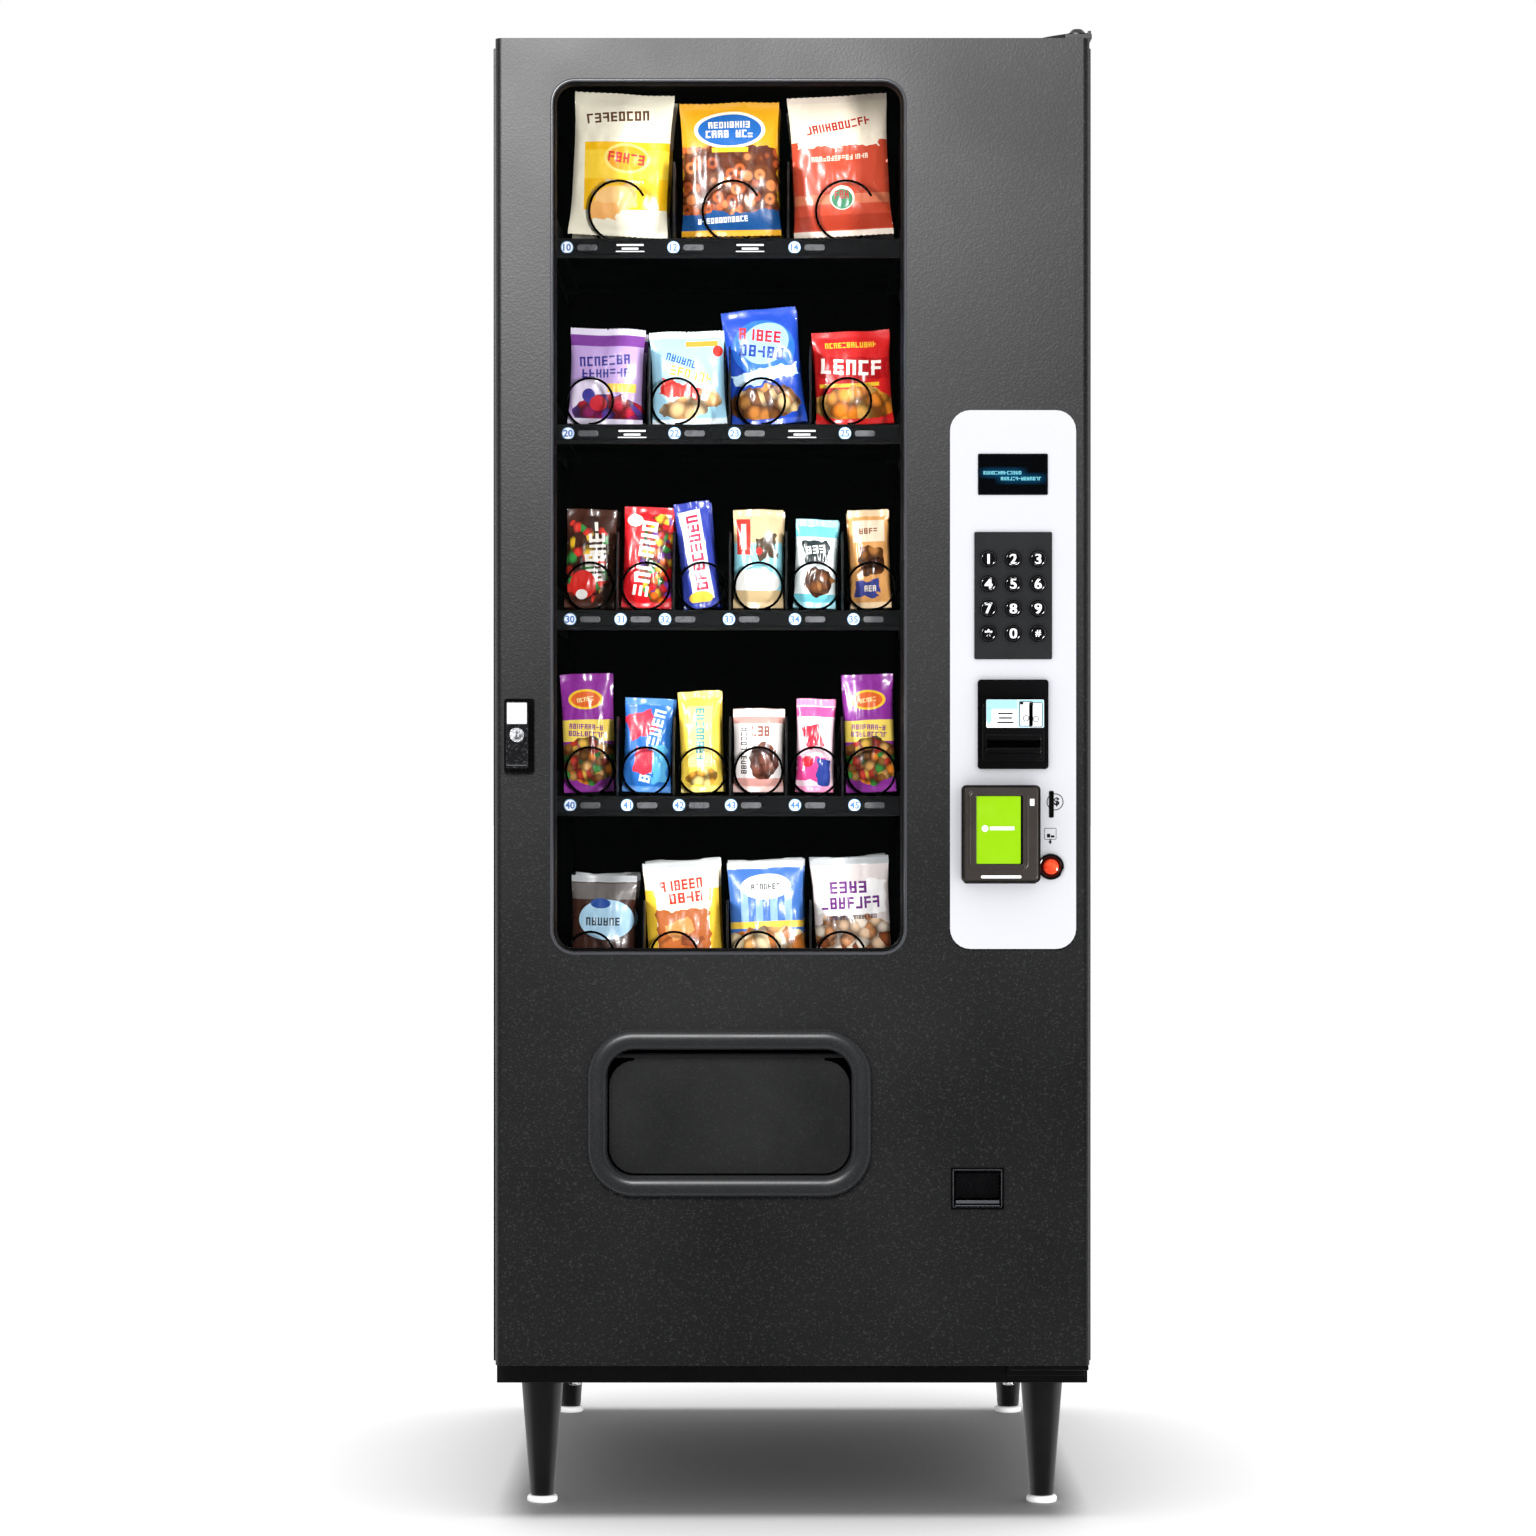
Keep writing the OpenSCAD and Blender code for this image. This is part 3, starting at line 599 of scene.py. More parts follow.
class Mark(Enum):
    """Kinds of print on a pack's film."""

    BAND = "band across the pack"
    OVAL = "oval field"
    BAR = "straight-edged field"
    WAVE = "field with wandering edges"
    WORD = "row of made-up letters"
    COLUMN = "row of made-up letters turned upright"
    BITS = "heap of small pieces of food"
    RINGS = "heap of small rings"


def letters() -> bpy.types.NodeTree:
    """Builds the node group that draws a row of made-up letters, once.

    Each letter is a cell with up to five strokes: two stems and three bars. Which ones it has is random, so
    the rows look printed and say nothing.

    Returns:
        The group. It takes a place from -1 to 1 both ways, a number of letters and a seed, and gives a mask.
    """
    found = bpy.data.node_groups.get("made_up_letters")
    if found:
        return found
    group = bpy.data.node_groups.new("made_up_letters", "ShaderNodeTree")
    for name, kind in (("Place", "NodeSocketVector"), ("Letters", "NodeSocketFloat"), ("Seed", "NodeSocketFloat")):
        group.interface.new_socket(name, in_out="INPUT", socket_type=kind)
    group.interface.new_socket("Mask", in_out="OUTPUT", socket_type="NodeSocketFloat")
    into, out = group.nodes.new("NodeGroupInput"), group.nodes.new("NodeGroupOutput")
    parts = add(group, "SeparateXYZ", Vector=into.outputs["Place"])
    half = add(group, "Math:MULTIPLY_ADD", i0=parts[0], i1=0.5, i2=0.5)[0]
    along = add(group, "Math:MULTIPLY", i0=half, i1=into.outputs["Letters"])[0]
    cell = add(group, "Math:FLOOR", i0=along)[0]
    across = add(group, "Math:FRACT", i0=along)[0]
    mask: Any = 0.0
    # Each stroke's axis, middle, half width, and how often it is left out.
    strokes = ((across, 0.16, 0.13, 0.2), (across, 0.66, 0.13, 0.35), (parts[1], 0.8, 0.2, 0.35),
        (parts[1], 0.0, 0.2, 0.45), (parts[1], -0.8, 0.2, 0.4))
    for i, (axis, middle, half_width, rarity) in enumerate(strokes):
        key = add(group, "CombineXYZ", X=cell, Y=into.outputs["Seed"], Z=float(i))[0]
        chance = add(group, "TexWhiteNoise", Vector=key)[0]
        there = add(group, "Math:GREATER_THAN", i0=chance, i1=rarity)[0]
        stroke = add(group, "Math:COMPARE", i0=axis, i1=middle, i2=half_width)[0]
        drawn = add(group, "Math:MULTIPLY", i0=there, i1=stroke)[0]
        mask = add(group, "Math:MAXIMUM", i0=drawn, i1=mask)[0]
    gap = add(group, "Math:LESS_THAN", i0=across, i1=0.79)[0]
    cut = add(group, "Math:MULTIPLY", i0=mask, i1=gap)[0]
    group.links.new(cut, out.inputs["Mask"])
    return group


@dataclass(frozen=True)
class Print:
    """One field of ink: its kind, place and half size as shares of the pack, tilt in degrees, pieces and colours."""

    mark: Mark
    x: float
    z: float
    half_w: float
    half_h: float
    tilt: float
    piece_mm: float
    colours: tuple[str, ...]


def reaches(tree: bpy.types.NodeTree, place: Any) -> tuple[Any, Any, Any]:
    """Measures how far a place lies from the middle of a field.

    Args:
        tree: The node tree.
        place: The place, from -1 to 1 both ways inside the field.

    Returns:
        The reach across, the reach up, and the greater of the two.
    """
    parts = add(tree, "SeparateXYZ", Vector=place)
    across, up = (add(tree, "Math:ABSOLUTE", i0=parts[i])[0] for i in (0, 1))
    return across, up, add(tree, "Math:MAXIMUM", i0=across, i1=up)[0]


@dataclass(frozen=True)
class PackFilm(Finish):
    """Printed and crimped packaging film: glossy plastic foil, inks in flat fields, and corrugated seals."""

    width: float = 100.0
    height: float = 130.0
    art: tuple[Print, ...] = ()
    letter_share: float = 1.25

    def printed(self, tree: bpy.types.NodeTree, place: Any, base: Any) -> Any:
        """Lays the inks over the film in order.

        Args:
            tree: The node tree.
            place: Object coordinates, which the inks don't follow.
            base: The film's own colour.

        Returns:
            The socket with the printed colour.
        """
        chart = add(tree, "UVMap", {"uv_map": "print"})[0]
        size = (self.width, self.height, 1.0)
        real = add(tree, "VectorMath:MULTIPLY", i0=chart, i1=size)[0]
        waver = add(tree, "TexNoise", Vector=real, Scale=0.07, Detail=1.5)[1]
        shift = add(tree, "VectorMath:MULTIPLY_ADD", i0=waver, i1=(16.0, 16.0, 0.0), i2=(-8.0, -8.0, 0.0))[0]
        loose = add(tree, "VectorMath:ADD", i0=real, i1=shift)[0]
        for place_in_row, ink in enumerate(self.art):
            at = loose if ink.mark in (Mark.WAVE, Mark.BITS, Mark.RINGS) else real
            half = (ink.half_w * self.width, ink.half_h * self.height)
            turned = ink.mark is Mark.COLUMN
            local = add(tree, "Mapping", {"vector_type": "TEXTURE"}, Vector=at,
                Location=(ink.x * self.width, ink.z * self.height, 0.0),
                Rotation=(0, 0, math.radians(ink.tilt + (90 if turned else 0))),
                Scale=(*(half[::-1] if turned else half), 1.0))[0]
            if ink.mark in (Mark.OVAL, Mark.BITS):
                reach = add(tree, "VectorMath:LENGTH", i0=local)["Value"]
            else:
                _, up, both = reaches(tree, local)
                reach = up if ink.mark is Mark.BAND else both
            inside = add(tree, "Math:LESS_THAN", i0=reach, i1=1.0)[0]
            if ink.mark in (Mark.WORD, Mark.COLUMN):
                count = max(3, round(self.letter_share * max(half) / min(half)))
                row = add(tree, "Group", {"node_tree": letters()}, Place=local, Letters=float(count),
                    Seed=float(place_in_row + len(self.name) + round(self.width + self.height)))
                inside = add(tree, "Math:MULTIPLY", i0=inside, i1=row["Mask"])[0]
            colour: Any = linear(ink.colours[0])
            if ink.mark in (Mark.BITS, Mark.RINGS):
                heap = add(tree, "TexVoronoi", Vector=real, Scale=1 / ink.piece_mm)
                pick = add(tree, "ValToRGB", i0=add(tree, "SeparateXYZ", Vector=heap["Color"])[0])
                ramp = pick[0].node.color_ramp
                ramp.interpolation, steps = "CONSTANT", ramp.elements
                steps.remove(steps[0])
                for i, shade in enumerate(ink.colours):
                    stop = steps.new(i / len(ink.colours)) if i else steps[0]
                    stop.position, stop.color = i / len(ink.colours), linear(shade)
                depth = heap["Distance"]
                if ink.mark is Mark.RINGS:
                    off = add(tree, "Math:SUBTRACT", i0=depth, i1=0.36)[0]
                    away = add(tree, "Math:ABSOLUTE", i0=off)[0]
                    depth = add(tree, "Math:MULTIPLY", i0=away, i1=3.6)[0]
                shade = add(tree, "MapRange", Value=depth, i1=0.3, i2=0.72, i3=1.0, i4=0.2)[0]
                colour = add(tree, "Mix", COLOURS, i0=shade, i6=linear("#2b120a"), i7=pick[0])[2]
            base = add(tree, "Mix", COLOURS, i0=inside, i6=base, i7=colour)[2]
        return base


@dataclass(frozen=True)
class Pack:
    """One product: its size in millimetres, lean in degrees, colours of film and seals, and prints."""

    width: float
    height: float
    half_depth: float
    lean: float
    film: str
    seal: str
    art: tuple[Print, ...]

    def form(self, x: float, y: float, z: float, fine: bool) -> Form:
        """Builds the filled, crimped bag as a closed skin.

        Args:
            x: Middle of its bottom edge.
            y: Its middle plane.
            z: Its bottom edge.
            fine: True where it is seen from near.

        Returns:
            The form, with its print's chart.
        """
        across = 34 if fine else 18
        up = round(across * min(self.height / self.width, 2.0)) if fine else 20
        form = Form()
        bmesh.ops.create_grid(form.bm, x_segments=across, y_segments=up, size=0.5)
        low = min(v.co.x for v in form.bm.verts)
        span = -2 * low
        chart = form.bm.loops.layers.uv.new("print")
        for face in form.bm.faces:
            for loop in face.loops:
                loop[chart].uv = ((loop.vert.co.x - low) / span, (loop.vert.co.y - low) / span)
        back = bmesh.ops.duplicate(form.bm,
            geom=list(form.bm.verts) + list(form.bm.edges) + list(form.bm.faces))["geom"]
        hind = {g for g in back if isinstance(g, bmesh.types.BMVert)}
        bmesh.ops.reverse_faces(form.bm, faces=[g for g in back if isinstance(g, bmesh.types.BMFace)])
        for vert in form.bm.verts:
            u, v = (vert.co.x - low) / span * 2 - 1, (vert.co.y - low) / span
            vert.co = self.skin(u, v, 1.0 if vert in hind else -1.0, x + y * 0.13)
        bmesh.ops.remove_doubles(form.bm, verts=form.bm.verts, dist=0.001)
        bmesh.ops.recalc_face_normals(form.bm, faces=form.bm.faces)
        return form.place(Matrix.Rotation(math.radians(self.lean), 4, "Y")).move(x, y, z)

    def skin(self, u: float, v: float, side: float, seed: float) -> Vector:
        """Returns where the film lies.

        Args:
            u: From -1 at the left to 1 at the right.
            v: From 0 at the bottom to 1 at the top.
            side: -1 for the front, 1 for the back.
            seed: Sets this bag's own creases.

        Returns:
            The place from the middle of the bottom edge.
        """
        h, w = self.height, self.width
        z, bottom, top = v * h, SEAL_LOW, h - SEAL_TOP
        rise = max(0.0, min(1.0, (z - bottom) / (0.24 * h)))
        fall = max(0.0, min(1.0, (top - z) / (0.34 * h)))
        full = math.sin(rise * math.pi / 2) ** 0.8 * math.sin(fall * math.pi / 2) ** 0.8
        round_side = max(0.0, 1 - abs(u) ** 2.6) ** 0.55
        near = math.exp(-max(0.0, z - bottom) / 17) + math.exp(-max(0.0, top - z) / 21)
        edge = 0.0 if abs(u) > 0.999 or v < 0.001 or v > 0.999 else 1.0
        folds = sum(math.sin(u * k + seed * (0.7 + k)) / (1 + k * 0.09) for k in (5.0, 9.0, 15.0))
        dents = noise.noise(Vector((u * w / 26, z / 24, seed))) * 2.2 + abs(noise.noise(Vector((u * w / 13, z / 30,
            seed + 9)))) * 1.6
        inner = 1.0 if 0 < rise and 0 < fall else 0.0
        out = self.half_depth * full * round_side + inner * round_side * (0.55 * folds * near + dents * full)
        sway = (1 - full) * (noise.noise(Vector((u * 1.4 + seed, v * 2, 3))) * 5.0)
        narrow = 1 - 0.045 * full - 0.012 * abs(noise.noise(Vector((side, z / 16, seed))))
        tooth = (1.1 if round((u + 1) * 17) % 2 else 0.0) if v > 0.999 or v < 0.001 else 0.0
        droop = noise.noise(Vector((u * 1.1, v, seed + 4))) * 2.2 * v
        return Vector((u * w / 2 * narrow, side * edge * max(0.25, out) + sway,
            z + droop - (tooth if v > 0.5 else -tooth)))

    def dress(self, name: str) -> PackFilm:
        """Makes the film, with its seals as bands at both ends.

        Args:
            name: The material's name.

        Returns:
            The film.
        """
        ends = tuple(Print(Mark.BAND, 0.5, z, 1.0, tall / self.height, 0.0, 1.0, (self.seal,)) for z,
            tall in ((0.0, SEAL_LOW), (1.0, SEAL_TOP)))
        return PackFilm(name, self.film, 0.27, 0.0, self.film, 60, 0.0, 9.0, 0.35, rough_spread=0.05, coat=0.3,
            width=self.width, height=self.height, art=self.art + ends)


# The products, tray by tray from the top and lane by lane from the left. A PACK line gives width, height, half
# depth, lean and the colours of film and seals. Each line below it is one print: kind, x, z, half width, half
# height, tilt, size of the pieces in a heap, and colours.
PRODUCTS = """
TRAY
PACK 128 184 12 3 #f0e9d2 #f0e9d2
BAR 0.62 0.42 0.5 0.235 2 12 #f6bd17
BAR 0.62 0.5 0.5 0.1 2 12 #fbd13c
WORD 0.45 0.83 0.33 0.035 6 12 #5b3a22
OVAL 0.56 0.54 0.24 0.105 0 12 #f9e27a
OVAL 0.56 0.54 0.21 0.085 0 12 #f0a516
WORD 0.56 0.54 0.2 0.035 -4 12 #d5281e
WORD 0.55 0.38 0.2 0.008 0 12 #f9f0d0
WAVE 0.45 0.26 0.22 0.085 14 12 #f4c27c
WAVE 0.34 0.17 0.14 0.06 0 12 #f0ae62
PACK 128 172 12 -1 #e2a21c #e2a21c
RINGS 0.5 0.4 0.5 0.27 0 15 #c0602f #a24a22 #d8804a
OVAL 0.5 0.79 0.37 0.14 0 12 #f5ecd4
OVAL 0.5 0.79 0.33 0.12 0 12 #2364b0
WORD 0.5 0.83 0.22 0.025 0 12 #f5ead0
WORD 0.5 0.76 0.25 0.028 0 12 #f5ead0
BAR 0.5 0.64 0.19 0.018 0 12 #f3c02a
WAVE 0.5 0.08 0.55 0.1 3 12 #174c86
WORD 0.42 0.12 0.26 0.02 3 12 #eef0ea
PACK 128 182 12 -3 #cb4c33 #ead9c8
BAND 0.5 0.84 1 0.17 0 12 #f4e6d0
WAVE 0.5 0.68 0.42 0.05 0 12 #f4e6d0
WORD 0.5 0.78 0.34 0.03 8 12 #b3241f
WORD 0.5 0.55 0.3 0.018 2 12 #f6e8cf
BAR 0.5 0.26 0.5 0.035 0 12 #de7a58
OVAL 0.5 0.27 0.13 0.085 0 12 #f6ead6
OVAL 0.5 0.26 0.11 0.07 0 12 #35805a
WORD 0.5 0.29 0.08 0.03 0 12 #a82e28
BAND 0.5 0.1 1 0.05 0 12 #b43d27
TRAY
PACK 96 124 9 2 #bda0d6 #d9d0e4
BAND 0.5 0.9 1 0.09 0 12 #7d4098
WORD 0.48 0.66 0.36 0.05 4 12 #3c3a8c
WORD 0.5 0.53 0.34 0.045 2 12 #3c3a8c
OVAL 0.3 0.27 0.28 0.22 0 12 #e6daf0
BAR 0.72 0.38 0.2 0.045 0 12 #f2c646
BITS 0.55 0.14 0.5 0.17 0 14 #c2283e #5d409c #c2283e #8e2260
OVAL 0.26 0.3 0.09 0.07 0 12 #3f3a94
OVAL 0.4 0.22 0.12 0.08 0 12 #d22a38
PACK 96 120 9 -2 #a6d8f0 #e4f2f8
WORD 0.42 0.68 0.22 0.04 -18 12 #2c52a2
OVAL 0.45 0.38 0.36 0.16 0 12 #cfeaf6
WAVE 0.4 0.36 0.3 0.085 -20 12 #d9342c
WORD 0.55 0.53 0.3 0.05 -14 12 #f5bf2f
BITS 0.42 0.17 0.34 0.11 0 17 #f2b878 #f8dcb0 #efc48c
BITS 0.78 0.28 0.18 0.1 0 17 #f8dcb0 #f2b878
BAR 0.7 0.86 0.22 0.03 0 12 #f0a13a
OVAL 0.92 0.78 0.07 0.06 0 12 #d8342c
PACK 96 149 9 -6 #2149b6 #2149b6
OVAL 0.52 0.66 0.44 0.24 0 12 #2f6fd8
OVAL 0.55 0.7 0.34 0.17 20 12 #9cc6f6
WORD 0.5 0.77 0.3 0.05 -10 12 #d4222c
WORD 0.5 0.63 0.32 0.05 -10 12 #123a96
WAVE 0.5 0.43 0.46 0.055 6 12 #c2e2f6
BITS 0.45 0.19 0.5 0.15 0 15 #c98a45 #7a4a22 #e8c58a #c07a38
PACK 100 121 9 -3 #d11f20 #d11f20
WORD 0.5 0.85 0.34 0.03 0 12 #f3c233
WAVE 0.5 0.6 0.46 0.115 -4 12 #b01218
WORD 0.5 0.61 0.42 0.08 -4 12 #f8f0e8
BAR 0.45 0.42 0.4 0.02 0 12 #f3c233
BITS 0.5 0.22 0.55 0.18 0 17 #f29c30 #f8ba5c #e07f20
TRAY
PACK 64 127 7 2 #4c2b21 #4c2b21
BITS 0.4 0.5 0.5 0.44 0 11 #4c2b21 #4c2b21 #e63b2e #4c2b21 #f2c230 #3a9a4a #4c2b21
COLUMN 0.62 0.72 0.17 0.17 6 12 #f1ebe2
COLUMN 0.6 0.42 0.2 0.15 6 12 #f1ebe2
OVAL 0.36 0.24 0.27 0.14 0 12 #d2261f
OVAL 0.34 0.14 0.12 0.05 0 12 #f0ece6
PACK 64 130 7 2 #cb1620 #cb1620
BITS 0.75 0.5 0.4 0.46 0 9 #f2b632 #3aa54a #cb1620 #7a3aa0 #f06a1e #cb1620
COLUMN 0.45 0.5 0.16 0.38 -7 12 #f6efe8
OVAL 0.22 0.86 0.16 0.06 0 12 #e8eee0
PACK 46 137 7 -6 #33409e #33409e
BAR 0.5 0.5 0.3 0.42 4 12 #e4e6f0
COLUMN 0.52 0.53 0.17 0.36 3 12 #c6224a
OVAL 0.5 0.1 0.34 0.06 0 12 #f0c84a
PACK 64 127 7 0 #cdb58c #cdb58c
BAR 0.5 0.38 0.5 0.28 0 12 #8fd2de
WAVE 0.68 0.62 0.2 0.11 10 12 #4a3a28
OVAL 0.45 0.26 0.5 0.14 0 12 #f4f4ee
BAND 0.5 0.1 1 0.08 0 12 #cbb083
BAR 0.2 0.72 0.14 0.18 0 12 #c8352c
BAR 0.2 0.72 0.05 0.13 0 12 #f2e6dc
OVAL 0.52 0.58 0.07 0.04 0 12 #c8352c
PACK 54 114 7 2 #e9f4f3 #9fd8e2
BAND 0.5 0.86 1 0.06 0 12 #6fc4d2
BAND 0.5 0.1 1 0.06 0 12 #6fc4d2
WAVE 0.5 0.64 0.3 0.12 8 12 #1c2a2c
WORD 0.5 0.66 0.26 0.045 8 12 #f2f6f4
BITS 0.58 0.3 0.36 0.17 0 12 #7a4a28 #a9713f #4a2a18
PACK 52 127 7 -2 #e7a763 #f2d2a8
BAR 0.5 0.78 0.4 0.11 0 12 #f6e3c6
WORD 0.5 0.78 0.24 0.03 0 12 #8a4a24
BITS 0.56 0.48 0.36 0.15 0 12 #8a5228 #b87838 #5a3018
WAVE 0.4 0.2 0.3 0.09 0 12 #3d4590
WORD 0.5 0.2 0.16 0.03 0 12 #f0e4d0
TRAY
PACK 64 152 7 -2 #8d3096 #8d3096
BAR 0.5 0.52 0.5 0.09 0 12 #f3d560
WORD 0.5 0.55 0.36 0.022 -4 12 #7c2b86
WORD 0.5 0.49 0.38 0.022 -4 12 #7c2b86
OVAL 0.5 0.78 0.36 0.085 0 12 #f1c232
OVAL 0.5 0.78 0.3 0.066 0 12 #df6428
WORD 0.5 0.78 0.18 0.018 8 12 #f6e2a0
BITS 0.5 0.27 0.62 0.2 0 10 #d8a25a #c23a2a #3f8a3a #e8b84a #8a5a2a #f08a2a
PACK 62 121 7 2 #2d6fc0 #4a86cc
WAVE 0.35 0.72 0.3 0.12 20 12 #cf2b48
COLUMN 0.6 0.5 0.12 0.4 -12 12 #d6e6f6
WAVE 0.42 0.34 0.2 0.14 -10 12 #d03048
WAVE 0.75 0.3 0.16 0.2 0 12 #58aee0
PACK 54 130 7 -2 #f2cf4e #f5dc74
BAR 0.5 0.55 0.3 0.3 -2 12 #f8e488
COLUMN 0.5 0.58 0.1 0.26 -2 12 #3f9aa2
BITS 0.5 0.15 0.4 0.08 0 12 #e8a83a #f6dc88
PACK 64 108 7 0 #f1e9e6 #dcbab4
BAND 0.5 0.86 1 0.04 0 12 #d49b92
BAND 0.5 0.12 1 0.05 0 12 #d49b92
BITS 0.62 0.38 0.28 0.24 0 13 #7a4434 #5a2c20 #8e5542
WORD 0.56 0.73 0.2 0.06 0 12 #8a4a3a
COLUMN 0.2 0.5 0.06 0.28 0 12 #3a3a3c
PACK 48 120 7 1 #f2cfdc #e88ab4
BAND 0.5 0.86 1 0.05 0 12 #e0559a
WAVE 0.45 0.6 0.24 0.11 20 12 #c81e3a
WAVE 0.4 0.25 0.4 0.13 0 12 #e0438a
WAVE 0.75 0.22 0.18 0.14 0 12 #2b3f8e
OVAL 0.3 0.33 0.16 0.06 0 12 #d21f34
PACK 64 152 7 -2 #8d3096 #8d3096
BAR 0.5 0.52 0.5 0.09 0 12 #f3d560
WORD 0.5 0.55 0.36 0.022 -4 12 #7c2b86
WORD 0.5 0.49 0.38 0.022 -4 12 #7c2b86
OVAL 0.5 0.78 0.36 0.085 0 12 #f1c232
OVAL 0.5 0.78 0.3 0.066 0 12 #df6428
WORD 0.5 0.78 0.18 0.018 8 12 #f6e2a0
BITS 0.5 0.27 0.62 0.2 0 10 #d8a25a #c23a2a #3f8a3a #e8b84a #8a5a2a #f08a2a
TRAY
PACK 84 130 10 1 #3c231c #a9acae
BAND 0.5 0.84 1 0.08 0 12 #6a6462
OVAL 0.55 0.56 0.44 0.2 0 12 #a9cfe6
WORD 0.5 0.54 0.28 0.04 0 12 #39434e
OVAL 0.45 0.72 0.16 0.05 0 12 #2b4f9c
PACK 98 147 10 -3 #f6ead0 #b9bcbd
BAR 0.06 0.4 0.08 0.36 0 12 #f2c53a
BAR 0.94 0.4 0.08 0.36 0 12 #f2c53a
WORD 0.5 0.8 0.3 0.045 4 12 #cf2720
WORD 0.56 0.69 0.24 0.045 4 12 #cf2720
WAVE 0.5 0.38 0.36 0.2 0 12 #b2602c
WAVE 0.45 0.42 0.18 0.07 20 12 #dd9350
WAVE 0.6 0.3 0.14 0.05 -20 12 #8a4420
PACK 98 147 10 -2 #4272bc #bcbfc1
BAR 0.2 0.62 0.05 0.14 0 12 #8fb4e0
BAR 0.4 0.62 0.05 0.14 0 12 #8fb4e0
BAR 0.6 0.62 0.05 0.14 0 12 #8fb4e0
BAR 0.8 0.62 0.05 0.14 0 12 #8fb4e0
BAND 0.5 0.45 1 0.03 0 12 #f2c84a
OVAL 0.5 0.78 0.34 0.11 0 12 #f4f4f0
WORD 0.5 0.78 0.2 0.025 0 12 #2a3440
BITS 0.5 0.24 0.6 0.2 0 20 #e2a75c #f6dcae #c9762f #f3cf94
PACK 100 152 10 -3 #ddd2cf #b5b8ba
BITS 0.5 0.28 0.6 0.26 0 14 #c98b5b #f2e2ce #8c4b2a #e6c3a0
WAVE 0.5 0.66 0.46 0.14 0 12 #f3f0f0
WORD 0.48 0.75 0.26 0.05 0 12 #6c2b7c
WORD 0.5 0.62 0.4 0.05 0 12 #6c2b7c
WORD 0.5 0.5 0.34 0.018 0 12 #3a2a40
"""


def products(table: str) -> tuple[tuple[Pack, ...], ...]:
    """Reads the products from their table.

    Args:
        table: The table.

    Returns:
        The packs of each tray.
    """
    trays = []
    for tray in table.split("TRAY")[1:]:
        packs = []
        for product in tray.split("PACK")[1:]:
            (*sizes, film, seal), *rows = (line.split() for line in product.strip().splitlines())
            art = tuple(Print(Mark[row[0]], *map(float, row[1:7]), tuple(row[7:])) for row in rows)
            packs.append(Pack(*map(float, sizes), film, seal, art))
        trays.append(tuple(packs))
    return tuple(trays)


PACKS = products(PRODUCTS)


# ---- cabinet, legs and hinges ----


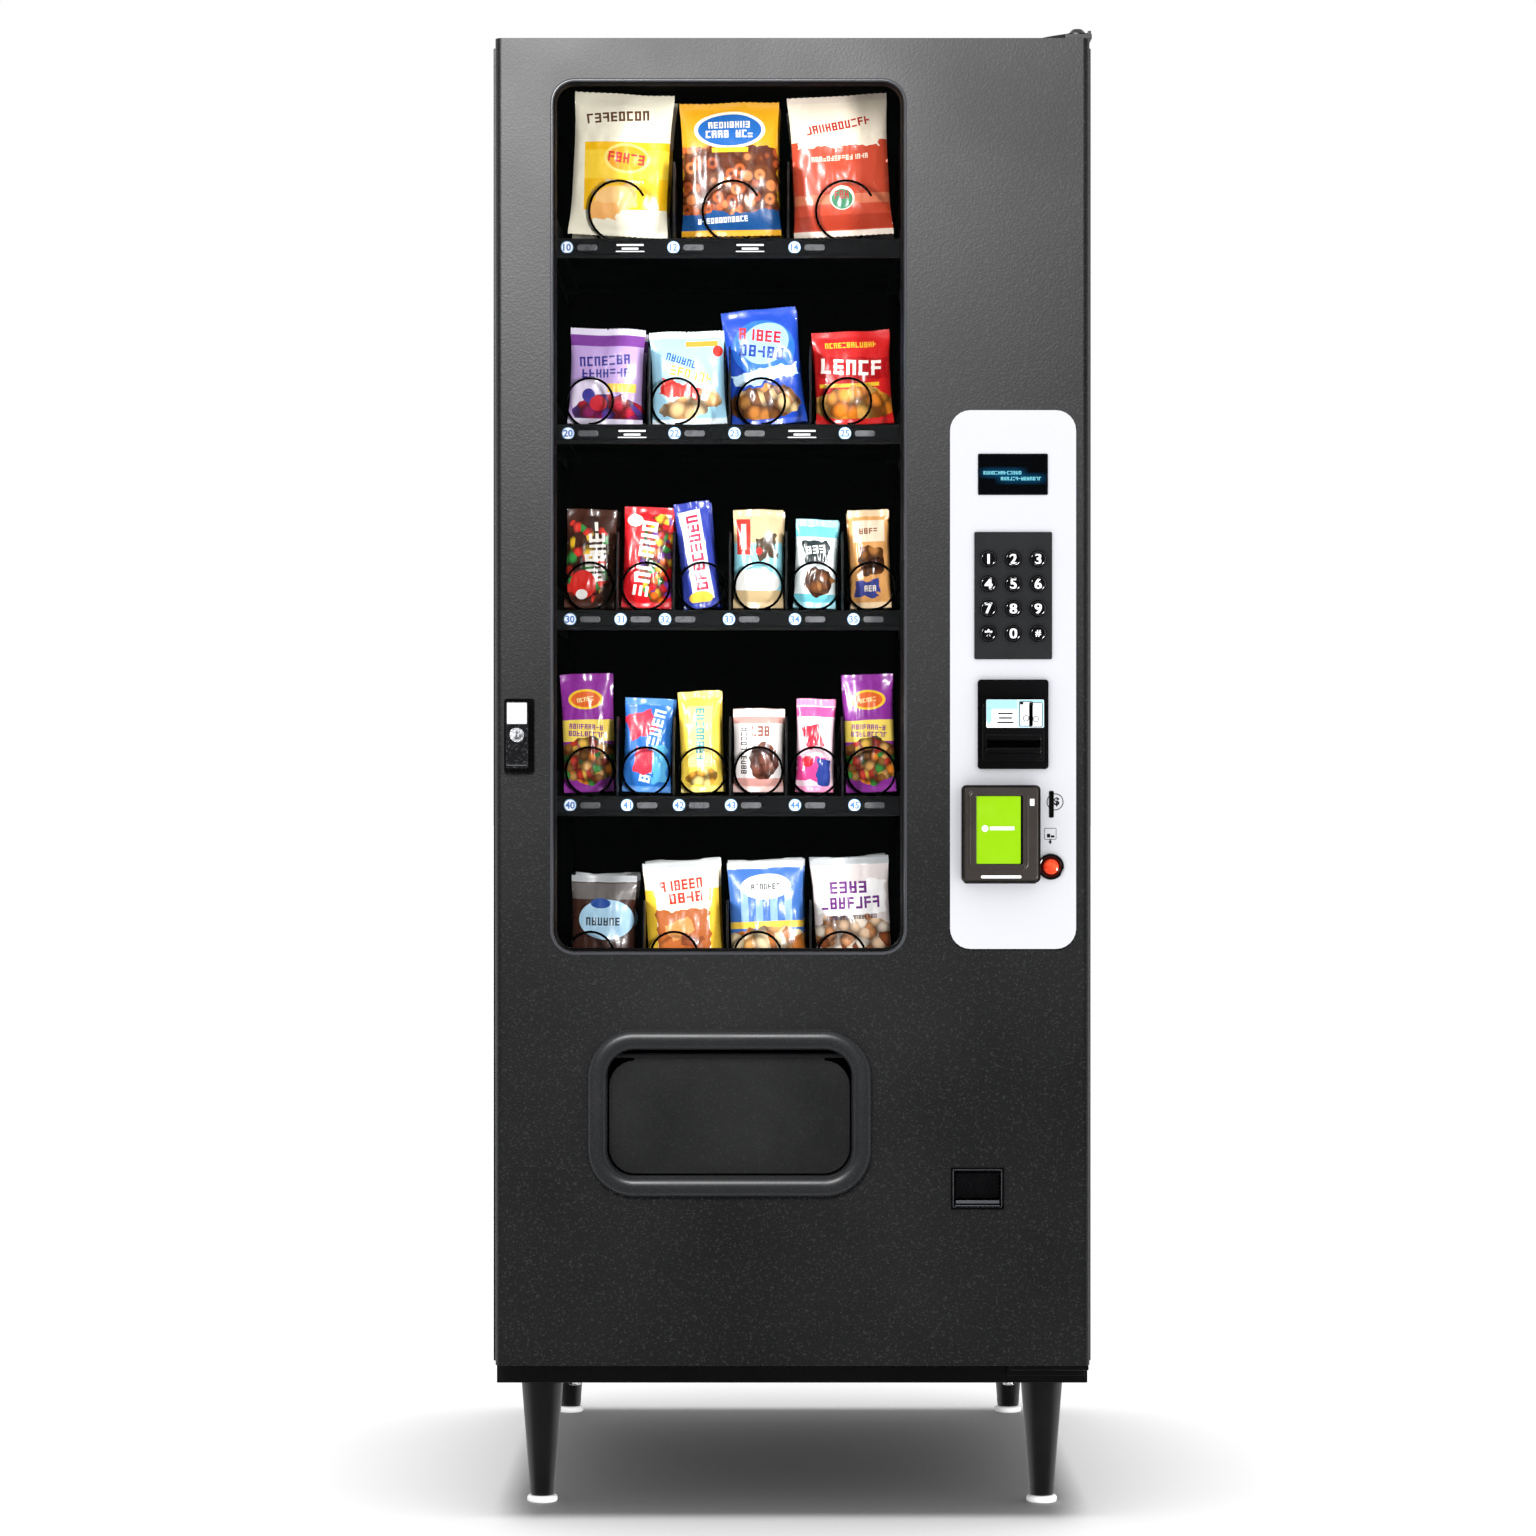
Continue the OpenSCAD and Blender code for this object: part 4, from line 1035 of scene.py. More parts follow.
@dataclass
class Cabinet:
    """The steel case, its base frame and the fittings inside it."""

    edge: float = 1.1
    back_inset: float = 26.0
    sheet: float = 1.0
    louvre_rows: int = 9
    louvre_low: float = 420.0
    louvre_pitch: float = 22.0
    louvre_places: tuple[float, ...] = (-170.0, 0.0, 170.0)
    screw_r: float = 4.2
    screw_inset: float = 14.0
    lid: float = 8.0
    vents: int = 8
    vent_pitch: float = 11.0
    sockets: int = 5
    socket_pitch: float = 40.0

    def build(self) -> None:
        """Builds every fixed part of the case."""
        dressed("cabinet_shell", "case", POWDER, "cabinet", "cabinet_paint", self.edge, 3)
        dressed("base_frame", "base_channel", ENAMEL, "cabinet", "frame_paint", 0.8)
        dressed("product_liner", "compartment_walls", LINER, "cabinet", "liner_paint", 0.5)
        dressed("latch_strike", "strike_plate", ZINC, "cabinet", "strike_zinc", 0.5)
        self.coin_box()
        self.electronics()
        dressed("power_inlet", "inlet_socket", GRAINED, "cabinet", "inlet_plastic", 0.6)
        self.rear_panel()
        self.inlet_pins()

    def coin_box(self) -> None:
        """Builds the lift-out coin box with its drop handle and lock."""
        dressed("cash_box", "coin_box", GALVANISED, "cabinet", "cash_steel", 0.4)
        low, high = corners("cash_box")
        x, z, y = (low.x + high.x) / 2, (low.z + high.z) / 2, low.y
        section = [(0.0, y - 7), (2.0, y - 9), (4.0, y - 7), (2.0, y - 5)]
        handle = frame_ring(section, (x - 32, x + 32, z - 14, z + 10, 9.0), 8)
        for side in (-1, 1):
            handle.add(lathe([(0.0, -9.5), (3.4, -9.2), (4.4, -8.0), (4.4, 0.3), (0.0, 0.3)],
                (x + side * 20, y, z + 12), 20))
        handle.add(lathe([(0.0, -3.0), (2.0, -3.0), (2.4, -2.4), (6.4, -2.4), (7.2, -1.6), (7.2, 0.3), (0.0, 0.3)],
            (high.x - 22, y, z + 30), 28))
        handle.solid("coin_box_handle", ZINC, "cabinet", "cash_steel")

    def electronics(self) -> None:
        """Builds the controller: base, screwed lid with vents, rating label and a row of sockets."""
        low, high = corners("control_box")
        body = block((low.x + self.lid, low.y, low.z), high, 3.0, 3)
        body.add(block((low.x, low.y + 4, low.z + 4), (low.x + self.lid + 1, high.y - 4, high.z - 4), 3.0, 3))
        body.solid("electronics_case", CASE, "cabinet", "control_case", ["control_box"])
        vents, screws = Form(), Form()
        # The vent strips are black paint standing in for the shade inside the vent slots; the socket blocks are black
        # plastic.
        for i in range(self.vents):
            z = low.z + 40 + self.vent_pitch * i
            vents.add(block((low.x - 0.15, low.y + 40, z), (low.x + 0.4, high.y - 40, z + 4)))
        for i in range(self.sockets):
            y = low.y + 30 + self.socket_pitch * i
            vents.add(block((low.x + 18, y, low.z - 1.5), (low.x + 34, y + 26, low.z + 0.5), 0.5))
        vents.solid("vents_and_sockets", BLACK, "cabinet", "control_case")
        for y in (low.y + self.screw_inset, high.y - self.screw_inset):
            for z in (low.z + self.screw_inset, high.z - self.screw_inset):
                head = lathe([(0.0, -1.0), (2.6, -0.8), (3.6, 0.0), (3.6, 0.4)], (0, 0, 0), 20)
                screws.add(head.place(Matrix.Rotation(-math.pi / 2, 4, "Z")).move(low.x, y, z))
        screws.solid("lid_screws", ZINC, "cabinet", "bolt_zinc")
        label = block((low.x - 0.2, low.y + 60, high.z - 120), (low.x + 0.3, high.y - 60, high.z - 60), 0.1)
        label.solid("rating_label", WHITE, "cabinet", "control_case")

    def rear_panel(self) -> None:
        """Lays a screwed panel with pressed louvres on the back, between the inlet and the top."""
        low, high = corners("cabinet_shell")
        y, inset = high.y, self.back_inset
        outline = (low.x + inset, high.x - inset, low.z + 130, high.z - inset, 6.0)
        form, slits = plate(outline, y - 0.01, y + self.sheet, 0.3), Form()
        for row in range(self.louvre_rows):
            z = self.louvre_low + self.louvre_pitch * row
            for x in self.louvre_places:
                bulge = lathe([(0.0, -58.0), (4.2, -55.0), (5.0, -50.0), (5.0, 50.0), (4.2, 55.0), (0.0, 58.0)],
                    (0, 0, 0), 20)
                bulge.place(Matrix.Rotation(math.pi / 2, 4, "Z")).place(Matrix.Diagonal((1.0, 0.17, 1.0, 1.0)))
                form.add(bulge.move(x, y + self.sheet, z))
                # Black strips under each louvre are painted shade, standing in for the dark openings.
                slits.add(block((x - 54, y + self.sheet - 0.1, z - 7.6), (x + 54, y + self.sheet + 0.08, z - 4.6)))
        slits.solid("louvre_slits", BLACK, "cabinet", "cabinet_paint")
        form.solid("rear_panel", POWDER, "cabinet", "cabinet_paint")
        heads, (x0, x1, z0, z1, _), gap = Form(), outline, self.screw_inset
        head = [(0.0, 0.9), (self.screw_r * 0.7, 0.75), (self.screw_r, 0.1), (self.screw_r, -0.2)]
        for x in (x0 + gap, 0.0, x1 - gap):
            for z in (z0 + gap, (z0 + z1) / 2, z1 - gap):
                heads.add(lathe(head, (x, y + self.sheet, z), 20))
        heads.solid("rear_screws", ZINC, "cabinet", "bolt_zinc")

    def inlet_pins(self) -> None:
        """Puts the three flat pins into the mains inlet."""
        low, high = corners("power_inlet")
        form = Form()
        for x, z in ((-7.0, -1.5), (7.0, -1.5), (0.0, 2.5)):
            middle = ((low.x + high.x) / 2 + x, (low.z + high.z) / 2 + z)
            form.add(block((middle[0] - 1, high.y - 18, middle[1] - 2), (middle[0] + 1, high.y - 5, middle[1] + 2),
                0.4))
        form.solid("inlet_pins", ZINC, "cabinet", "bolt_zinc")


@dataclass
class Undercarriage:
    """Legs, glides, bolts and hinge plates."""

    glide_r: float = 19.2
    foot_r: float = 16.2
    top_r: float = 26.3

    def build(self) -> None:
        """Builds the parts below and above the case."""
        low, high = corners("legs")
        glide_low, glide_high = corners("leg_glides")
        foot, top, r = self.foot_r, self.top_r, self.glide_r
        leg = [(0.0, low.z), (foot - 2.0, low.z), (foot - 0.8, low.z + 1.2), (foot, low.z + 10),
            (foot - 0.2, low.z + 12), (top - 0.3, high.z - 7), (top, high.z - 5), (top, high.z), (0.0, high.z)]
        glide = [(0.0, 0.0), (r - 2.2, 0.0), (r - 0.6, 0.8), (r, 2.4), (r, 5.6), (r - 1.0, 7.6), (r - 4.2, 8.8),
            (0.0, 9.0)]
        legs, glides = Form(), Form()
        for x in (glide_low.x + r, glide_high.x - r):
            for y in (glide_low.y + r, glide_high.y - r):
                legs.add(lathe(leg, (x, y, 0), 48, True))
                glides.add(lathe(glide, (x, y, 0), 48, True))
        legs.solid("tapered_legs", LEG_COAT, "cabinet", "leg_paint", ["legs"])
        glides.solid("floor_glides", NYLON, "cabinet", "glide_nylon", ["leg_glides"])
        dressed("hinge_plates", "hinge_plates_painted", ENAMEL, "cabinet", "frame_paint", 0.7)
        dressed("hex_bolts", "zinc_bolts", ZINC, "cabinet", "bolt_zinc", 0.9)


# ---- trays ----


@dataclass(frozen=True)
class TrayPlan:
    """One tray: spiral places, spiral size, badges and packs."""

    first_x: float
    pitch_x: float
    spiral_r: float
    rise: float
    turn: float
    turns: int
    badges: tuple[tuple[str, float], ...]
    lanes: tuple[float, ...]
    notices: tuple[float, ...] = ()

    @property
    def spirals(self) -> list[float]:
        """Returns each spiral's x."""
        return [self.first_x + self.pitch_x * i for i in range(len(self.lanes))]


def badges(numbers: Sequence[int], places: Sequence[float]) -> tuple[tuple[str, float], ...]:
    """Pairs selection numbers with their places along the rail.

    Args:
        numbers: The selection numbers.
        places: The x of each badge.

    Returns:
        Each number's figures with its x.
    """
    return tuple((str(n), x) for n, x in zip(numbers, places))


TRAYS = (
    TrayPlan(-222.4, 145.2, 36.9, 54.7, 60, 8, badges((10, 12, 14), (-284.8, -150.0, 3.3)), (-223.35, -77.1, 67.25),
        (-205.0, -53.0)),
    TrayPlan(-258.0, 109.5, 30.5, 44.2, 54, 9, badges((20, 22, 23, 25), (-283.5, -148.7, -72.7, 67.2)),
        (-239.4, -130.4, -27.6, 81.4), (-202.4, 12.8)),
    TrayPlan(-257.9, 71.8, 30.5, 44.2, 44, 11, badges(range(30, 36), (-281.0, -217.0, -160.7, -79.7, 3.9, 78.0)),
             (-259.4, -186.0, -114.4, -42.8, 28.8, 101.8)),
    TrayPlan(-257.9, 71.8, 30.5, 44.2, 44, 11, badges(range(40, 46), (-281.0, -208.8, -143.0, -77.1, 3.9, 79.2)),
             (-259.4, -186.0, -114.4, -42.8, 28.8, 101.8)),
    TrayPlan(-256.7, 106.7, 30.5, 44.2, 60, 8, badges((50, 52, 53, 55), (-283.5, -148.7, -72.7, 67.2)),
        (-242.5, -135.0, -29.0, 81.5)),
)


@dataclass
class TrayDeck:
    """The five trays: pans, lane plates, badge rails, runners, motors, spirals and packs."""

    tray_step: float = 235.5
    rail_h: float = 25.0
    floor_up: float = 10.0
    wire: float = 3.6
    packs_deep: int = 3
    pack_rise: float = 7.0
    top_pack_rise: float = 14.0
    pack_sway: float = 2.5
    pack_fill: float = 0.5
    badge_r: float = 7.9
    tab: tuple[float, float] = (13.0, 4.0)
    front_turn: float = 0.32
    motor_deep: float = 40.0
    plates: tuple[tuple[float, float], ...] = ((-149.7, 145.2), (-181.8, 102.8), (-221.8, 71.6), (-221.8, 71.6),
        (-188.0, 106.0))

    def __post_init__(self) -> None:
        """Reads the trays' places from the frame."""
        low, high = corners("selection_rails")
        self.rail_front, self.tray_y = low.y, high.y
        self.x0, self.x1 = low.x, high.x
        self.top_z = high.z - self.rail_h / 2
        self.tip_y = self.tray_y + 8

    def rail_z(self, tray: int) -> float:
        """Returns the height of a tray's rail."""
        return self.top_z - self.tray_step * tray

    def build(self) -> None:
        """Builds every tray."""
        dressed("tray_pans", "tray_floors", ENAMEL, "cabinet", "tray_paint", 0.4)
        dressed("tray_dividers", "lane_plates", ENAMEL, "cabinet", "tray_paint", 0.5)
        dressed("tray_runners", "runner_rails", GALVANISED, "cabinet", "runner_steel", 0.4)
        self.motors()
        self.plate_edges()
        self.rails()
        self.spirals()
        self.packs()

    def motors(self) -> None:
        """Builds a gear case, a round motor and a spindle behind each spiral."""
        back = corners("spiral_motors")[1].y - self.motor_deep
        spindle = [(0.0, -13.9), (3.6, -13.9), (4.0, -13.2), (4.0, 0.5), (0.0, 0.5)]
        can = [(0.0, 19.5), (18.0, 19.5), (18.0, 37.0), (16.5, 39.0), (5.0, 39.2), (4.5, 40.0), (0.0, 40.0)]
        form, cans = Form(), Form()
        for tray, plan in enumerate(TRAYS):
            z = self.rail_z(tray) + plan.rise
            for x in plan.spirals:
                form.add(block((x - 21, back, z - 26), (x + 21, back + 20, z + 30), 2.0, 3))
                form.add(lathe(spindle, (x, back, z), 20))
                cans.add(lathe(can, (x, back, z + 2), 32))
        form.solid("gear_cases", CASE, "cabinet", "motor_plastic", ["spiral_motors"])
        cans.solid("motor_cans", GALVANISED, "cabinet", "motor_plastic")

    def plate_edges(self) -> None:
        """Lays a light strip down the front of each lane plate, a painted highlight along its edge."""
        form, run = Form(), Vector((0, 22, 64))
        for tray, plan in enumerate(TRAYS):
            z = self.rail_z(tray) + self.floor_up
            first, pitch = self.plates[tray]
            for i in range(len(plan.lanes) - 1):
                x = first + pitch * i
                strip = block((-1.15, -0.5, 0), (1.15, 0.9, run.length), 0.45)
                strip.place(Matrix.Rotation(-math.atan2(run.y, run.z), 4, "X")).move(x, self.tray_y + 3.6, z + 40)
                form.add(strip).add(block((x - 1.15, self.tray_y + 3.2, z + 1), (x + 1.15, self.tray_y + 4.6, z + 40),
                    0.45))
        form.solid("rubbed_edges", PLATE_EDGE_HIGHLIGHT, "cabinet", "tray_paint")

    def rails(self) -> None:
        """Builds the extruded rails with their badges, numbers, tabs and notices."""
        rails, discs, rims, figures, tabs, notices = (Form() for _ in range(6))
        y = self.rail_front
        for tray, plan in enumerate(TRAYS):
            z, half = self.rail_z(tray), self.rail_h / 2
            rails.add(block((self.x0, y + 1.4, z - half), (self.x1, self.tray_y, z + half), 0.4))
            rails.add(block((self.x0, y, z + half - 3.0), (self.x1, y + 2, z + half), 0.6, 3))
            rails.add(block((self.x0, y, z - half), (self.x1, y + 2, z - half + 4.4), 0.8, 3))
            rails.add(block((self.x0, y + 0.7, z - half + 5.6), (self.x1, y + 2, z - half + 6.6), 0.3))
            for number, x in plan.badges:
                at = (x, y + 1.4, z + 1.2)
                rims.add(lathe([(0.0, -0.4), (self.badge_r - 0.2, -0.4), (self.badge_r, -0.2), (self.badge_r, 0.0)], at,
                    32))
                discs.add(lathe([(0.0, -0.6), (self.badge_r - 1.1, -0.6), (self.badge_r - 1.0, -0.3)], at, 32))
                figures.add(lettering(number, 12.0, x, at[1] - 0.75, at[2]))
                tabs.add(plate((x + 12.5, x + 12.5 + 2 * self.tab[0], z - 3.0, z - 3.0 + 2 * self.tab[1], 3.4), y,
                    y + 1.6, 0.7, 3))
            for x in plan.notices:
                for dz, wide in ((4.2, 17.0), (-0.4, 10.5)):
                    notices.add(block((x - wide, y + 1.2, z + dz - 1.1), (x + wide, y + 1.5, z + dz + 1.1), 0.1))
                notices.add(block((x - 18, y + 0.9, z - 4.6), (x + 18, y + 1.5, z - 3.4), 0.1))
        rails.solid("badge_rails", EXTRUDED, "cabinet", "rail_plastic", ["selection_rails"])
        rims.solid("badge_rims", PALE_BLUE, "cabinet", "rail_plastic")
        discs.solid("badge_faces", WHITE, "cabinet", "rail_plastic")
        figures.solid("badge_numbers", BLUE, "cabinet", "rail_plastic")
        tabs.solid("price_tabs", TAB, "cabinet", "rail_plastic")
        notices.solid("rail_notices", WHITE, "cabinet", "rail_plastic")

    def spiral(self, tray: int, lane: int) -> Form:
        """Winds one spiral with its arm and hub.

        Args:
            tray: The tray, counted from the top.
            lane: The lane, counted from the left.

        Returns:
            The form.
        """
        plan = TRAYS[tray]
        x, z = plan.spirals[lane], self.rail_z(tray) + plan.rise
        end = self.tip_y + plan.turn * plan.turns
        back = corners("tray_pans")[1].y
        form = coil((x, self.tip_y, z), plan.spiral_r, self.wire, plan.turn, plan.turns,
            self.front_turn if tray == 0 else 0.0)
        form.add(lathe([(self.wire / 2, 0.0), (self.wire / 2, plan.spiral_r)], (x, end, z - plan.spiral_r), 10, True))
        return form.add(lathe([(0.0, end - 2.2), (8.0, end - 2.2), (9.0, end - 1.2), (9.0, back - 6), (0.0, back - 6)],
            (x, 0, z), 24))

    def spirals(self) -> None:
        """Builds the turning spirals of the top tray and the fixed ones below."""
        for lane, name in enumerate(("spiral_10", "spiral_12", "spiral_14")):
            self.spiral(0, lane).solid(name + "_wire", WIRE, name, "spiral_wire", [name])
        fixed = Form()
        for tray in range(1, len(TRAYS)):
            for lane in range(len(TRAYS[tray].lanes)):
                fixed.add(self.spiral(tray, lane))
        fixed.solid("lower_spirals", WIRE, "cabinet", "spiral_wire", ["fixed_spirals"])

    def packs(self) -> None:
        """Fills each lane with its packs."""
        moving = ("packs_10", "packs_12", "packs_14")
        for tray, plan in enumerate(TRAYS):
            z = self.rail_z(tray) + self.floor_up + (self.top_pack_rise if tray == 0 else self.pack_rise)
            for lane, pack in enumerate(PACKS[tray]):
                form = Form()
                for deep in reversed(range(self.packs_deep)):
                    y = self.tip_y + plan.turn * (deep + 1)
                    form.add(pack.form(plan.lanes[lane] + (deep % 2) * self.pack_sway, y, z, deep == 0))
                name = f"snack_{tray + 1}{lane}"
                body = moving[lane] if tray == 0 else "cabinet"
                nodes = [body] if tray == 0 else ["fixed_packs"] if (tray, lane) == (1, 0) else []
                made = form.solid(name, pack.dress("film_" + name), body, "pack_film", nodes)
                made.modifiers.remove(made.modifiers["flat_faces"])
                for face in made.data.polygons:
                    face.use_smooth = True


# ---- door ----


@dataclass
class DoorLeaf:
    """The door's skin, back sheet, seal, lamp and coin mechanism."""

    edge: float = 0.9
    tubes: int = 4
    tube_r: float = 12.6
    waist: float = 0.62
    shelf: float = 36.0

    def build(self) -> None:
        """Builds the parts of the leaf itself."""
        dressed("door_shell", "door_skin", POWDER, "door", "cabinet_paint", self.edge, 3)
        dressed("door_liner", "door_back_sheet", ENAMEL, "door", "liner_paint", 0.5)
        dressed("door_gasket", "door_seal", RUBBER, "door", "gasket_rubber", 1.4, 3)
        dressed("window_light", "lamp_cover", LAMP, "door", "lamp_white", 1.2, 3)
        self.coin_mechanism()

    def coin_mechanism(self) -> None:
        """Builds the coin mechanism on the door's back: acceptor above, four coin tubes, cup below."""
        low, high = corners("coin_changer")
        waist, shelf = low.z + self.waist * (high.z - low.z), low.z + self.shelf
        body = block((low.x, low.y, low.z), (high.x, high.y - 12, high.z), 3.0, 3)
        body.add(block((low.x + 2, high.y - 14, waist), (high.x - 2, high.y, high.z - 4), 3.0, 3))
        body.add(block((low.x + 2, high.y - 14, low.z + 4), (high.x - 2, high.y - 3, shelf), 2.0, 3))
        body.solid("coin_mechanism", CASE, "door", "changer_plastic", ["coin_changer"])
        tubes, marks = Form(), Form()
        for i in range(self.tubes):
            x = low.x + (high.x - low.x) * (i + 0.5) / self.tubes
            tubes.add(lathe([(0.0, shelf), (self.tube_r, shelf), (self.tube_r, waist), (0.0, waist)],
                (x, high.y - 13, 0), 32, True))
            tubes.add(lathe([(0.0, 0.8), (3.6, 0.6), (4.4, -0.2), (4.4, -0.6)], (x, high.y, waist + 22), 24))
        tubes.solid("coin_tubes", GLOSS, "door", "changer_plastic")
        marks.add(block((low.x + 18, high.y - 0.2, high.z - 62), (high.x - 18, high.y + 0.25, high.z - 22), 0.1))
        marks.solid("acceptor_label", WHITE, "door", "changer_plastic")


@dataclass
class Window:
    """The display window: glass, rubber frame and the folded lip round the opening."""

    outline: Outline = (-297.0, 139.0, 700.0, 1778.0, 28.0)
    lip: float = 2.4
    rubber: float = 5.5

    def build(self) -> None:
        """Builds the window."""
        face = corners("door_shell")[0].y
        glass = corners("window_glass")[0].y
        dressed("window_glass", "glass_pane", GLASS, "door", "glass", 0.8)
        section = [(-0.2, face - 0.7), (self.lip - 0.9, face - 0.6), (self.lip, face + 0.1), (-0.1, face + 2.4),
            (-1.5, face + 3.6), (-1.6, face + 1.2)]
        # The lip is coloured with the painted highlight grey, standing in for the light along its bevel.
        frame_ring(section, self.outline, 12).solid("window_lip", PAINTED_HIGHLIGHT_GREY, "door", "cabinet_paint")
        profile = [(13.6, face + 2.6), (13.6, glass - 0.05), (-self.rubber, glass - 0.05), (-self.rubber, glass - 1.0),
            (-self.rubber + 2.2, face + 4.6), (-self.rubber + 3.8, face + 3.0), (-1.0, face + 2.6)]
        frame_ring(profile, self.outline, 12).solid("window_rubber", RUBBER, "door", "gasket_rubber", ["window_gasket"])


# Light grey painted highlight for the window's folded lip, the cup's lip and rim and the handle's ridge: the same coat
# coloured light where these edges catch the light.
PAINTED_HIGHLIGHT_GREY = Finish("worn_coat_on_lip", "#5d5f64", 0.3, 0.1, "#47494e", 120, 0.6, 2.8, 0.04)


@dataclass
class DeliveryHatch:
    """The hatch: moulded half-round ring, flap and bin."""

    outer: Outline = (-254.0, 97.0, 397.5, 604.0, 53.0)
    inner: Outline = (-229.0, 73.0, 424.0, 580.5, 33.5)
    proud: float = 12.0

    def build(self) -> None:
        """Builds the hatch."""
        face = corners("door_shell")[0].y
        width = self.inner[0] - self.outer[0]
        arch = [(width * (0.5 - 0.5 * math.cos(a)),
            face - self.proud * math.sin(a) ** 0.8) for a in (math.pi * i / 14 for i in range(15))]
        section = [(0.0, face + 26.5)] + arch + [(width, face - 0.01), (3.0, face - 0.01), (3.0, face + 26.5)]
        # The ring is coloured lighter than the flap and bin, a painted sheen.
        frame_ring(section, self.inner, 14).solid("hatch_ring", RING_SHEEN_COAT, "door", "bezel_plastic", ["delivery_bezel"])
        dressed("delivery_bin", "catch_bin", GRAINED, "door", "bezel_plastic", 0.6)
        dressed("delivery_flap", "hatch_flap", GRAINED, "delivery_flap", "bezel_plastic", 0.9, 3)


@dataclass
class CoinCup:
    """The cup where change lands, with its hanging flap."""

    def build(self) -> None:
        """Builds the cup."""
        dressed("coin_cup", "change_cup", GLOSS, "door", "bezel_plastic", 0.5)
        low, high = corners("coin_cup")
        # The lip band, the thin line under it and the rim are coloured with the painted highlight grey.
        lip = block((low.x + 6, low.y - 0.3, high.z - 44.0), (high.x - 6, low.y + 1.0, high.z - 40.2), 0.5, 3)
        lip.add(block((low.x + 5, low.y - 0.2, high.z - 47.4), (high.x - 5, low.y + 1.0, high.z - 46.2), 0.4))
        lip.solid("cup_lip", PAINTED_HIGHLIGHT_GREY, "door", "bezel_plastic")
        y = low.y + 3.5
        rim = frame_ring([(-3.4, y + 0.4), (-3.2, y - 0.3), (-2.5, y - 0.3), (-2.3, y + 0.4)],
            (low.x, high.x, low.z, high.z, 2.0), 4)
        rim.solid("cup_rim", PAINTED_HIGHLIGHT_GREY, "door", "bezel_plastic")
        dressed("coin_flap", "cup_flap", KEYCAP, "coin_flap", "bezel_plastic", 0.3)


# ---- payment panel ----


@dataclass(frozen=True)
class DotScreen(Finish):
    """A lit display behind smoked acrylic: two lines of made-up cyan letters on black."""

    lines: tuple[tuple[float, float, float, int], ...] = ((235.5, 283.0, 1292.6, 13), (257.0, 307.5, 1285.4, 14))
    half_height: float = 2.1
    halo_mm: float = 8.0

    def printed(self, tree: bpy.types.NodeTree, place: Any, base: Any) -> Any:
        """Lights the letters, with a soft halo round each line, and returns the colour under them.

        Args:
            tree: The node tree.
            place: Object coordinates.
            base: The acrylic's own colour.

        Returns:
            The socket with the colour.
        """
        light: Any = linear("#000000")
        for x0, x1, z, count in self.lines:
            half = ((x1 - x0) / 2 * MM, self.half_height * MM)
            flat = add(tree, "Mapping", {"vector_type": "TEXTURE"}, Vector=place,
                Location=((x0 + x1) / 2 * MM, 0, z * MM), Rotation=(math.pi / 2, 0, 0),
                Scale=(half[0], half[1], 1.0))[0]
            across, up, reach = reaches(tree, flat)
            inside = add(tree, "Math:LESS_THAN", i0=reach, i1=1.0)[0]
            row = add(tree, "Group", {"node_tree": letters()}, Place=flat, Letters=float(count), Seed=z)["Mask"]
            lit = add(tree, "Math:MULTIPLY", i0=inside, i1=row)[0]
            side = add(tree, "MapRange", Value=across, i1=0.7, i2=1.35, i3=1.0, i4=0.0)[0]
            fade = add(tree, "MapRange", Value=up, i1=0.6, i2=self.halo_mm / self.half_height, i3=0.2, i4=0.0)[0]
            halo = add(tree, "Math:MULTIPLY", i0=side, i1=fade)[0]
            haze = add(tree, "Mix", COLOURS, i0=halo, i6=light, i7=linear("#1592d8"))[2]
            light = add(tree, "Mix", COLOURS, i0=lit, i6=haze, i7=linear("#8ff0ff"))[2]
        shader = tree.nodes["Principled BSDF"]
        tree.links.new(light, shader.inputs["Emission Color"])
        shader.inputs["Emission Strength"].default_value = 1.0
        return base


# Smoked acrylic over a dot-matrix display: glassy black with cyan dots lit behind it.
SCREEN = DotScreen("smoked_acrylic_display", "#05070a", 0.09, 0.0, coat=0.4, grain_mm=20.0, grain_depth_mm=0.0)
# Pale blue note-label ink.
SKY = Finish("pale_blue_ink", "#9fd3e6", 0.35, 0.0, "#8ec7dd", 12, 0.4, 3.0, 0.01)


